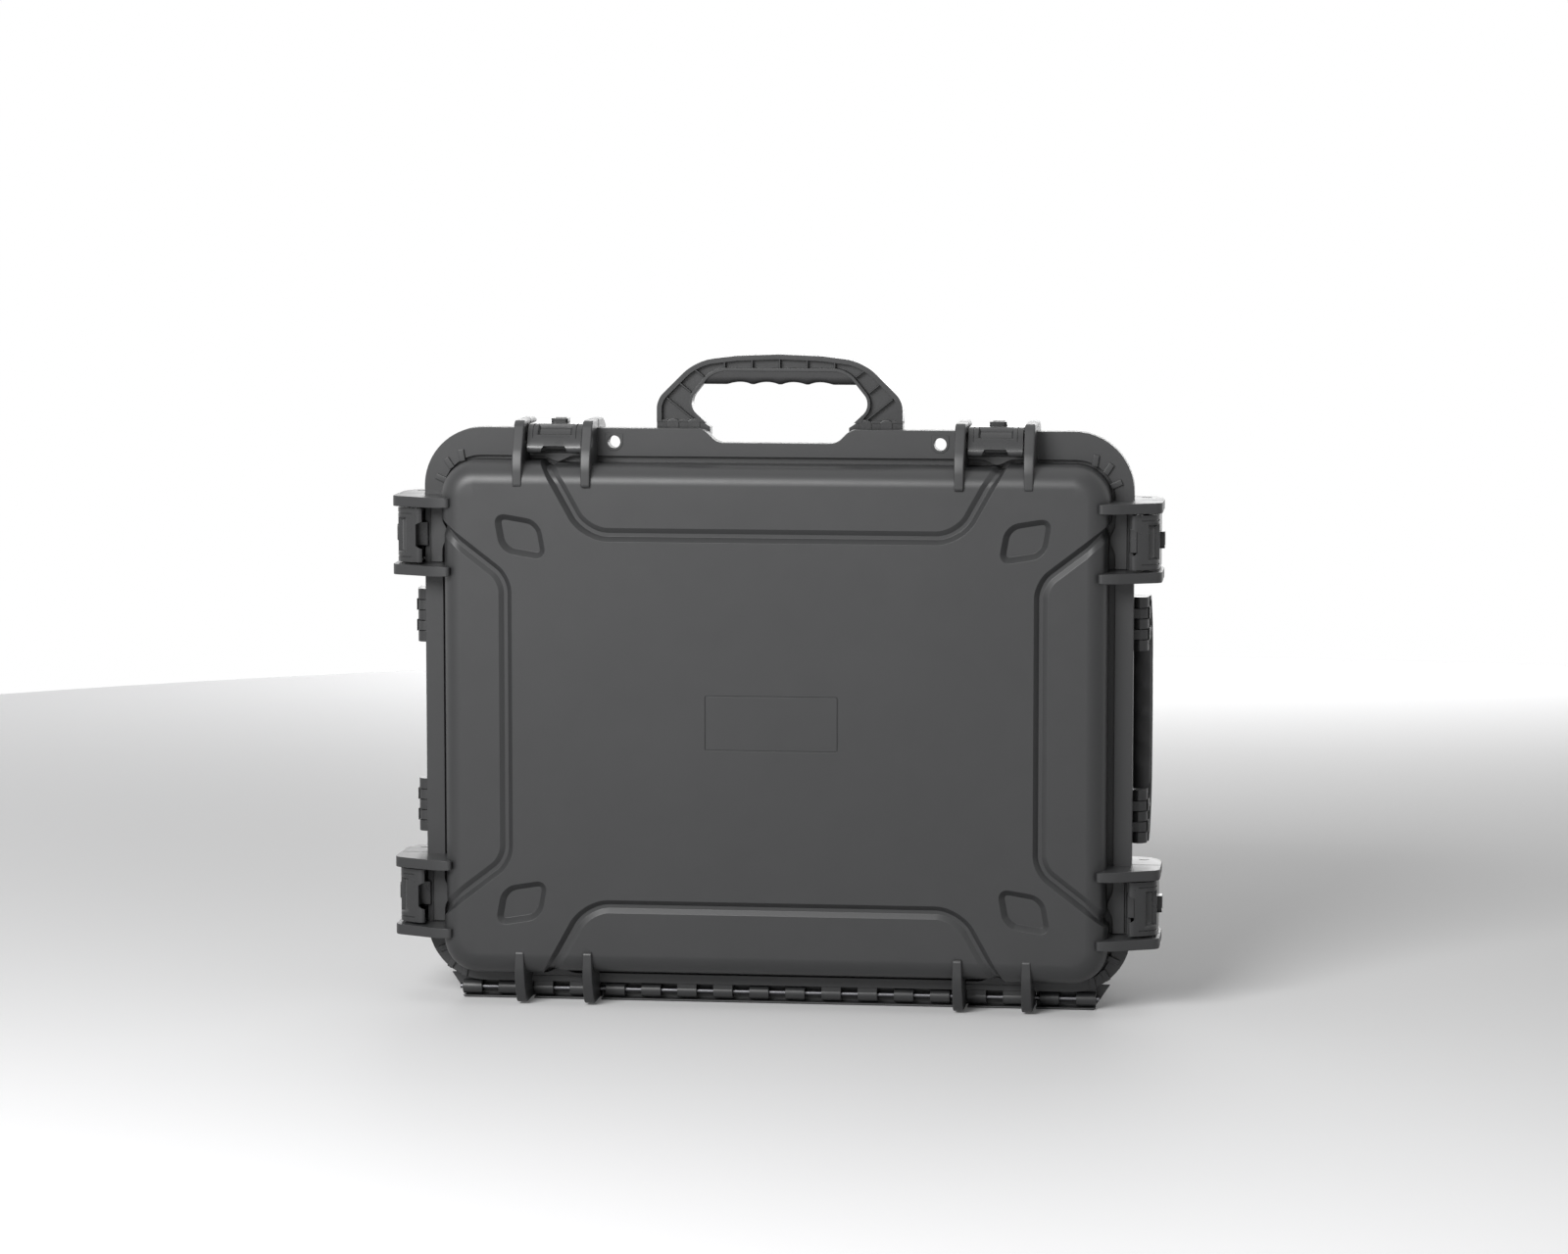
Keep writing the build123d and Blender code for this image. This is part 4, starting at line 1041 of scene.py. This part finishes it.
def handleBody():
    look = handleLook
    bm = handleFrameMesh()
    # knuckle slots are cut by leaving the feet out and setting fingers in their place
    low = [f for f in bm.faces if f.calc_center_bounds().z < look["footTop"] + 0.15]
    bmesh.ops.delete(bm, geom=low, context="FACES")
    bmesh.ops.holes_fill(bm, edges=openEdges(bm), sides=0)
    bmesh.ops.recalc_face_normals(bm, faces=bm.faces[:])
    barLow, barHigh = look["uprightEnds"]
    near, far = look["ribFaces"]
    for side in (-1, 1):
        for x0, x1 in look["fingers"]:
            piece = finger(x1 - x0, look["barrel"], look["fingerRoot"])
            for v in piece.verts:
                # the inner foot runs out in a slope
                if x0 == look["fingers"][0][0] and v.co.z > 5 and side * v.co.x < 0:
                    v.co.z -= look["tail"]
            add(bm, piece, Matrix.Translation((side * (x0 + x1) / 2, 0, 0)))
        for x in look["slots"]:
            slotCover(bm, side * x)
        bars = [((x, barLow), (x, barHigh)) for x in look["uprights"] if x or side > 0]
        for (xa, za), (xb, zb) in bars + list(look["slants"]):
            for face in (-1, 1):
                addBar(bm, (side * xa, za), (side * xb, zb), look["ribWidth"], face * near, face * far)
    bmesh.ops.translate(bm, vec=(0, look["axisY"], 0), verts=bm.verts)
    return bm


gripLook = {"low": 36.0, "high": 47.4, "depth": 6.9, "round": 6.2, "cuts": 95, "flat": 4.0,
            "pitch": 20.8, "scallop": 1.8, "rest": 0.2, "fullness": 0.85,
            "reach": ((36.0, 59.4), (41.0, 55.6), (44.5, 51.5), (47.4, 46.0))}


def gripMesh():
    # half-round bar in the top of the opening, with finger scallops along its lower side
    look = gripLook
    low, high, depth = look["low"], look["high"], look["depth"]
    wide, flat = look["reach"][0][1], high - look["flat"]
    bm = profileBlock([(-depth, high), (depth, high), (depth, low), (-depth, low)], 2 * wide,
                      rounds=(([2, 3], look["round"]),), edge=0)
    along = [e for e in bm.edges if abs(e.verts[0].co.x - e.verts[1].co.x) > 50]
    bmesh.ops.subdivide_edges(bm, edges=along, cuts=look["cuts"], use_grid_fill=True)
    for v in bm.verts:
        share = max(0.0, (flat - v.co.z) / (flat - low))
        crest = abs(math.sin(math.pi * v.co.x / look["pitch"]))
        bow = max(0.0, crest - look["rest"]) / (1 - look["rest"])
        if abs(v.co.x) < look["pitch"] * 2:
            v.co.z += look["scallop"] * bow ** look["fullness"] * share ** 2
        # the ends follow the opening's slanted sides
        for (z0, x0), (z1, x1) in zip(look["reach"], look["reach"][1:]):
            if z0 - 0.01 <= v.co.z <= z1 + 0.01:
                v.co.x *= (x0 + (x1 - x0) * (v.co.z - z0) / (z1 - z0)) / wide
                break
    bmesh.ops.translate(bm, vec=(0, handleLook["axisY"], 0), verts=bm.verts)
    return bm


def bracketMesh():
    look = handleLook
    bm = bmesh.new()
    for side, step in quarters:
        spot = (side * look["middle"] + step * look["step"], look["axisY"], 0)
        add(bm, finger(look["knuckle"], look["barrel"], look["bracketRoot"]), Matrix.Translation(spot))
    return bm


gripRubber = mouldedPlastic("gripRubber")
foldBack = (Matrix.Translation((0, handleLook["axisY"], 0)) @ Matrix.Rotation(math.radians(-90), 4, "X")
            @ Matrix.Translation((0, -handleLook["axisY"], 0)))
handleFrames = {"top": frameAt(0, 436.5), "left": frameAt(-274, 220, -90) @ foldBack,
                "right": frameAt(274, 220, 90) @ foldBack}
bracketsMesh = bmesh.new()
for side, place in handleFrames.items():
    for kind, make, material, slot in (("frame", handleBody, handlePlastic, "handle_plastic"),
                                       ("grip", gripMesh, gripRubber, "grip_rubber")):
        bm = bmesh.new()
        add(bm, make(), place)
        name = "handle_" + side + "_" + kind
        finishPiece(name + "_form", bm, "handle_" + side, material, [name])
    add(bracketsMesh, bracketMesh(), place if side == "top" else place @ foldBack.inverted())
finishPiece("handleBrackets", bracketsMesh, "base", shellPlastic, ["handle_brackets"])
print("handles done")


gasketLook = {"half": 2.3, "crown": 0.05, "root": 4.0, "turn": (0, 30, 60, 90, 120, 150, 180)}


def gasketMesh():
    # D-section ring that fills the groove
    look = gasketLook
    r, top = look["half"], look["crown"] + look["half"]
    section = [(-r, look["root"])]
    section += [(-r * math.cos(a), top - r * math.sin(a)) for a in map(math.radians, look["turn"])]
    section += [(r, look["root"])]
    bm = bmesh.new()
    ringOf(bm, *section[0], 14, onlyLoop=True)
    loop = bm.edges[:]
    for inset, y in section[1:] + section[:1]:
        made = bmesh.ops.extrude_edge_only(bm, edges=loop)
        for v in newVerts(made):
            x, z = onCavity(v.co.x, v.co.z - caseSize["middleZ"], inset)
            v.co = (x, y, z + caseSize["middleZ"])
        loop = newRim(made)
    bmesh.ops.remove_doubles(bm, verts=bm.verts[:], dist=0.01)
    bmesh.ops.recalc_face_normals(bm, faces=bm.faces[:])
    return bm


sealRubber = mouldedPlastic("sealRubber")
finishPiece("gasketRing", gasketMesh(), "base", sealRubber, ["gasket"])


def makeCellGroup():
    # open cells of cut foam: pits of two sizes, with painted shade that darkens the deep ones
    group, given, out = nodeGroup("cellsAndPitShade",
        [("Vector", "NodeSocketVector", (0, 0, 0)), ("Color", "NodeSocketColor", (0.06, 0.06, 0.06, 1)),
         ("Cell", "NodeSocketFloat", 900.0)],
        [("Color", "NodeSocketColor"), ("Height", "NodeSocketFloat")])
    vector, cell = given.outputs["Vector"], given.outputs["Cell"]
    pits = group.nodes.new("ShaderNodeTexVoronoi")
    pits.feature = "F1"
    group.links.new(vector, pits.inputs["Vector"])
    group.links.new(cell, pits.inputs["Scale"])
    fine = noiseNode(group, vector, mathNode(group, "MULTIPLY", cell, 1.7), 3.0, 0.65)
    height = vary(group, mathNode(group, "MULTIPLY", pits.outputs["Distance"], 0.7), fine, 0.5)
    broad = noiseNode(group, vector, 14.0, 3.0, 0.5)
    # painted shade: the colour is darker where the pits are deep; the broad noise adds a random tone on top
    tone = vary(group, vary(group, 0.55, height, 0.6), broad, 0.3, 0.5)
    group.links.new(scaleColor(group, given.outputs["Color"], tone), out.inputs["Color"])
    group.links.new(height, out.inputs["Height"])
    return group


cellLook = {"color": (0.060, 0.060, 0.064), "lidCell": 820.0, "baseCell": 900.0, "rough": 0.95,
            "sheen": 0.25, "sheenRough": 0.6, "bump": (0.55, 0.0006)}


def makeFoam(name, cell):
    look = cellLook
    return groupMaterial(name, cellsAndPitShade, {"Color": (*look["color"], 1), "Cell": cell},
                         {"Roughness": look["rough"], "Sheen Weight": look["sheen"],
                          "Sheen Roughness": look["sheenRough"]}, look["bump"])


cellsAndPitShade = makeCellGroup()
lidFoamCells = makeFoam("lidFoam", cellLook["lidCell"])
baseFoamCells = makeFoam("baseFoam", cellLook["baseCell"])

foamLook = {"inset": 7.5, "corner": 26.5, "lid": (-33.5, -11.5), "base": (49.0, 111.0),
            "pad": (111.5, 131.5), "edge": 2.2, "wavePitch": 24.6, "waveDepth": 9.0,
            "waveCells": (180, 138), "waveSunk": 0.05, "backRound": ((2.0, 0.0), (0.6, 0.006), (0.0, 0.010)),
            "pocket": (192.0, 48.0, 316.0), "slot": (192.0, 334.0, 392.0), "pocketCorner": 14.0}


def waveFoam():
    # egg-crate sheet: waves on the parting side, flat where it is glued in
    look = foamLook
    back, front = look["lid"]
    (w, h), r = halfSize(look["inset"]), look["corner"]
    across, up = look["waveCells"]
    turns = 2 * math.pi / look["wavePitch"]
    bm = bmesh.new()
    bmesh.ops.create_grid(bm, x_segments=across, y_segments=up, size=1.0)
    for v in bm.verts:
        x, z = v.co.x * w, v.co.y * h
        over, rise = (abs(x) - (w - r)) / r, (abs(z) - (h - r)) / r
        if over > 0 and rise > 0:
            # the sheet's square corner is drawn into the round one
            x = math.copysign(w - r + r * over * math.sqrt(1 - rise * rise / 2), x)
            z = math.copysign(h - r + r * rise * math.sqrt(1 - over * over / 2), z)
        wave = math.cos(turns * x) * math.cos(turns * z)
        v.co = (x, front - look["waveDepth"] / 2 * (1 - wave) - look["waveSunk"], z)
    bmesh.ops.recalc_face_normals(bm, faces=bm.faces[:])
    if bm.faces[:][0].normal.y < 0:
        bmesh.ops.reverse_faces(bm, faces=bm.faces[:])
    loop = openEdges(bm)
    for above, draw in look["backRound"]:
        made = bmesh.ops.extrude_edge_only(bm, edges=loop)
        for v in newVerts(made):
            v.co = (v.co.x * (1 - draw), back + above, v.co.z * (1 - draw))
        loop = newRim(made)
    bmesh.ops.holes_fill(bm, edges=loop, sides=0)
    bmesh.ops.translate(bm, vec=(0, 0, caseSize["middleZ"]), verts=bm.verts)
    return bm


def cutFoam():
    # block in two mirrored sectors that meet on the middle line, with the pocket and the slot left out
    look = foamLook
    front, back = look["base"]
    mid, (w, h) = caseSize["middleZ"], halfSize(look["inset"])
    px, p0, p1 = look["pocket"]
    sx, s0, s1 = look["slot"]
    half = [(0, mid - h), (w, mid - h), (w, mid + h), (0, mid + h), (0, s1), (sx, s1), (sx, s0), (0, s0),
            (0, p1), (px, p1), (px, p0), (0, p0)]
    bm = bmesh.new()
    known, outer, inner = {}, [], []
    for side in (-1, 1):
        verts = [vertAt(bm, known, (side * x, z), lambda x, z: (x, front, z)) for x, z in half]
        bm.faces.new(verts)
        outer += verts[1:3]
        inner += [verts[i] for i in (5, 6, 9, 10)]
    roundVerts(bm, outer, look["corner"], 12)
    roundVerts(bm, inner, look["pocketCorner"], 8)
    thicken(bm, (0, back - front, 0))
    soften(bm, look["edge"], 4, 50)
    return bm


def bottomPad():
    look = foamLook
    front, back = look["pad"]
    bm = bmesh.new()
    ringOf(bm, look["inset"], front, 12)
    thicken(bm, (0, back - front, 0))
    soften(bm, look["edge"], 4, 50)
    return bm


lidFoam = finishPiece("lidFoam", waveFoam(), "lid", lidFoamCells, ["lid_foam"], weighted=False)
baseFoam = finishPiece("baseFoam", cutFoam(), "base", baseFoamCells, ["base_foam"])
basePad = finishPiece("basePad", bottomPad(), "base", baseFoamCells, ["base_pad"])
print("foam and gasket done")


valveLook = {"place": (0.0, 36.0, 413.9), "cap": 12.0, "height": 4.5, "flutes": 24, "fluteDeep": 0.8,
             "crown": ((0.7, 0.75), (0.8, 0.25)), "well": 7.6, "wellSlope": 0.6,
             "wellDeep": 1.6, "knob": 3.4, "knobRise": (0.5, 0.7), "stem": 6.8, "bore": 4.3,
             "stemEnd": 404.0, "stemSunk": 0.3, "grips": 3, "grip": (3.6, 1.6, 1.2), "gripPlace": (5.2, 1.4)}


def valveMesh():
    # spin cap with a fluted rim and a dished middle, on a hollow stem
    look = valveLook
    x0, y0, z0 = look["place"]
    bm = bmesh.new()
    bmesh.ops.create_circle(bm, cap_ends=True, segments=look["flutes"] * 4, radius=look["cap"])
    rim = sorted(bm.verts, key=lambda v: math.atan2(v.co.y, v.co.x))
    for v in rim[::4]:
        v.co.xy *= 1 - look["fluteDeep"] / look["cap"]
    face = bm.faces[:][0]
    if face.normal.z < 0:
        face.normal_flip()
    made = bmesh.ops.extrude_face_region(bm, geom=[face], use_keep_orig=True)
    top = [g for g in made["geom"] if isinstance(g, bmesh.types.BMFace)]
    crownWide, crownHigh = (sum(part) for part in zip(*look["crown"]))
    bmesh.ops.translate(bm, verts=top[0].verts, vec=(0, 0, look["height"] - crownHigh))
    # rounded crown, flat ring, well, and a knob in its middle
    for thickness, lift in (*look["crown"], (look["cap"] - crownWide - look["well"], 0.0),
                            (look["wellSlope"], -look["wellDeep"]), (look["well"] - look["knob"], 0.0),
                            look["knobRise"]):
        insetFaces(bm, top, thickness, lift, even=False)
    bmesh.ops.recalc_face_normals(bm, faces=bm.faces[:])
    # raised grips across the well
    reach, down = look["gripPlace"]
    for k in range(look["grips"]):
        turn = Matrix.Rotation(2 * math.pi * k / look["grips"], 4, "Z")
        add(bm, roundedBox(look["grip"], (reach, 0, look["height"] - down), 0.35), turn)
    length = z0 - look["stemEnd"]
    stem = flatRing(look["bore"], look["stem"], 40)
    thicken(stem, (0, 0, length + look["stemSunk"]))
    soften(stem, 0.3, 2, 50)
    add(bm, stem, Matrix.Translation((0, 0, -length)))
    bmesh.ops.translate(bm, vec=(x0, y0, z0), verts=bm.verts)
    return bm


valvePlastic = mouldedPlastic("valvePlastic")
finishPiece("valveCap", valveMesh(), "base", valvePlastic, ["valve_body"])


def makeBrushedGroup():
    # drawn lines along x with small scratches
    group, given, out = nodeGroup("drawnMetal",
        [("Vector", "NodeSocketVector", (0, 0, 0)), ("Color", "NodeSocketColor", (0.5, 0.5, 0.5, 1)),
         ("Roughness", "NodeSocketFloat", 0.3)],
        [("Color", "NodeSocketColor"), ("Roughness", "NodeSocketFloat"), ("Height", "NodeSocketFloat")])
    stretched = group.nodes.new("ShaderNodeVectorMath")
    stretched.operation = "MULTIPLY"
    stretched.inputs[1].default_value = (60.0, 2600.0, 2600.0)
    group.links.new(given.outputs["Vector"], stretched.inputs[0])
    lines = noiseNode(group, stretched.outputs[0], 1.0, 3.0, 0.6)
    stain = noiseNode(group, given.outputs["Vector"], 180.0, 4.0, 0.6)
    tone = vary(group, vary(group, 0.86, lines, 0.14), stain, 0.1)
    rough = vary(group, given.outputs["Roughness"], stain, 0.25, 0.5)
    group.links.new(scaleColor(group, given.outputs["Color"], tone), out.inputs["Color"])
    group.links.new(rough, out.inputs["Roughness"])
    group.links.new(lines, out.inputs["Height"])
    return group


steelLooks = {"rodSteel": {"color": (0.17, 0.17, 0.18), "rough": 0.42},
              "springSteel": {"color": (0.48, 0.49, 0.50), "rough": 0.24}}


def makeSteel(name):
    look = steelLooks[name]
    return groupMaterial(name, drawnMetal, {"Color": (*look["color"], 1), "Roughness": look["rough"]},
                         {"Metallic": 1.0}, (0.08, 0.0001))


def makeMembrane():
    # white felt-like disc: short tangled fibres
    material, tree, shader, coords = newMaterial("ventMembrane")
    fibres = noiseNode(tree, coords, 2600.0, 5.0, 0.7)
    ramp = tree.nodes.new("ShaderNodeValToRGB")
    ramp.color_ramp.elements[0].color = (0.66, 0.66, 0.64, 1)
    ramp.color_ramp.elements[1].color = (0.84, 0.84, 0.82, 1)
    tree.links.new(fibres, ramp.inputs["Fac"])
    tree.links.new(ramp.outputs["Color"], shader.inputs["Base Color"])
    shader.inputs["Roughness"].default_value = 0.9
    bumpInto(tree, shader, fibres, 0.3, 0.0002)
    return material


drawnMetal = makeBrushedGroup()
rodSteel = makeSteel("rodSteel")
springSteel = makeSteel("springSteel")
nodeFinishes = {"hinge_rod": rodSteel, "latch_pivot_pins": rodSteel, "handle_pins": rodSteel,
                "valve_nut": valvePlastic, "valve_membrane": makeMembrane()}
for key in latchFrames:
    nodeFinishes["latch_" + key + "_claw_pin"] = rodSteel
    nodeFinishes["latch_" + key + "_spring"] = springSteel
for name, material in nodeFinishes.items():
    for slot in nodes[name].material_slots:
        slot.material = material
print("kept nodes finished:", len(nodeFinishes))


cameraLook = {"place": (0.45, -3.81, 0.70), "yaw": 6.75, "pitch": 6.19, "lens": 115.19, "sensor": 36.0}


def placeCamera():
    look = cameraLook
    data = bpy.data.cameras.new("camera")
    data.lens = look["lens"]
    data.sensor_width = look["sensor"]
    camera = bpy.data.objects.new("camera", data)
    bpy.context.scene.collection.objects.link(camera)
    camera.location = look["place"]
    camera.rotation_euler = (math.radians(90 - look["pitch"]), 0.0, math.radians(look["yaw"]))
    bpy.context.scene.camera = camera


lampLooks = {
    "keySoftbox": {"place": (-0.85, -2.25, 1.38), "target": (0, 0, 0.22), "size": (1.3, 0.9), "watts": 65},
    "topSoftbox": {"place": (0.0, -0.2, 2.7), "target": (0, 0, 0.2), "size": (2.4, 2.0), "watts": 8},
    "backSoftbox": {"place": (0.1, 2.5, 0.75), "target": (0, 0, 0.22), "size": (1.8, 1.0), "watts": 20}}


def addLamp(name, look):
    data = bpy.data.lights.new(name, "AREA")
    data.shape = "RECTANGLE"
    data.size, data.size_y = look["size"]
    data.energy = look["watts"]
    lamp = bpy.data.objects.new(name, data)
    lamp.location = look["place"]
    lamp.rotation_mode = "QUATERNION"
    lamp.rotation_quaternion = (Vector(look["target"]) - Vector(look["place"])).to_track_quat("-Z", "Y")
    bpy.context.scene.collection.objects.link(lamp)


def makeWorld():
    world = bpy.data.worlds.new("studio")
    bpy.context.scene.world = world
    world.use_nodes = True
    tree = world.node_tree
    back = next(n for n in tree.nodes if n.type == "BACKGROUND")
    path = tree.nodes.new("ShaderNodeLightPath")
    back.inputs["Color"].default_value = (1, 1, 1, 1)
    seen = mathNode(tree, "MAXIMUM", path.outputs["Is Camera Ray"], path.outputs["Is Glossy Ray"])
    seen = mathNode(tree, "MAXIMUM", seen, path.outputs["Is Transmission Ray"])
    # what the camera and reflections see is white, and the light it gives is weak
    tree.links.new(vary(tree, 0.1, seen, 0.9), back.inputs["Strength"])


floorLook = {"radius": 2.2, "middle": (0.3, 0.1), "near": (0.80, 0.80, 0.80, 1),
             "far": (0.80, 0.80, 0.81, 1), "rough": 0.7, "specular": 0.2,
             "dim": (0.40, 0.80, 0), "fade": (0.4, 2.2), "glow": (0.0, 0.27)}


def makeFloor():
    look = floorLook
    bm = bmesh.new()
    bmesh.ops.create_circle(bm, cap_ends=True, segments=160, radius=look["radius"])
    bmesh.ops.translate(bm, vec=(*look["middle"], 0), verts=bm.verts)
    mesh = bpy.data.meshes.new("floor")
    bm.to_mesh(mesh)
    bm.free()
    floor = bpy.data.objects.new("floor", mesh)
    bpy.context.scene.collection.objects.link(floor)
    material, tree, shader, coords = newMaterial("paleFloor")
    reach = tree.nodes.new("ShaderNodeVectorMath")
    reach.operation = "DISTANCE"
    reach.inputs[1].default_value = look["dim"]
    tree.links.new(coords, reach.inputs[0])
    fade = tree.nodes.new("ShaderNodeMapRange")
    fade.interpolation_type = "SMOOTHSTEP"
    fade.inputs["From Min"].default_value, fade.inputs["From Max"].default_value = look["fade"]
    tree.links.new(reach.outputs["Value"], fade.inputs["Value"])
    tone = mixColor(tree, fade.outputs["Result"], look["near"], look["far"])
    tree.links.new(tone, shader.inputs["Base Color"])
    shader.inputs["Roughness"].default_value = look["rough"]
    shader.inputs["Specular IOR Level"].default_value = look["specular"]
    # painted light: the floor glows to the camera alone, so it looks paler than it shines on the case; the
    # glow is least round the dim point and grows with distance from it
    low, high = look["glow"]
    glow = vary(tree, low, fade.outputs["Result"], high - low)
    path = tree.nodes.new("ShaderNodeLightPath")
    shader.inputs["Emission Color"].default_value = (1, 1, 1, 1)
    shine = mathNode(tree, "MULTIPLY", glow, path.outputs["Is Camera Ray"])
    tree.links.new(shine, shader.inputs["Emission Strength"])
    # from below the floor is clear, so that the underside can be looked at
    side = tree.nodes.new("ShaderNodeNewGeometry")
    clear = tree.nodes.new("ShaderNodeBsdfTransparent")
    choice = tree.nodes.new("ShaderNodeMixShader")
    out = next(n for n in tree.nodes if n.type == "OUTPUT_MATERIAL")
    tree.links.new(side.outputs["Backfacing"], choice.inputs["Fac"])
    tree.links.new(shader.outputs[0], choice.inputs[1])
    tree.links.new(clear.outputs[0], choice.inputs[2])
    tree.links.new(choice.outputs[0], out.inputs["Surface"])
    mesh.materials.append(material)


placeCamera()
makeWorld()
makeFloor()
for name, look in lampLooks.items():
    addLamp(name, look)
bpy.context.scene.view_settings.view_transform = "Standard"
print("stage set:", len(lampLooks), "lamps")
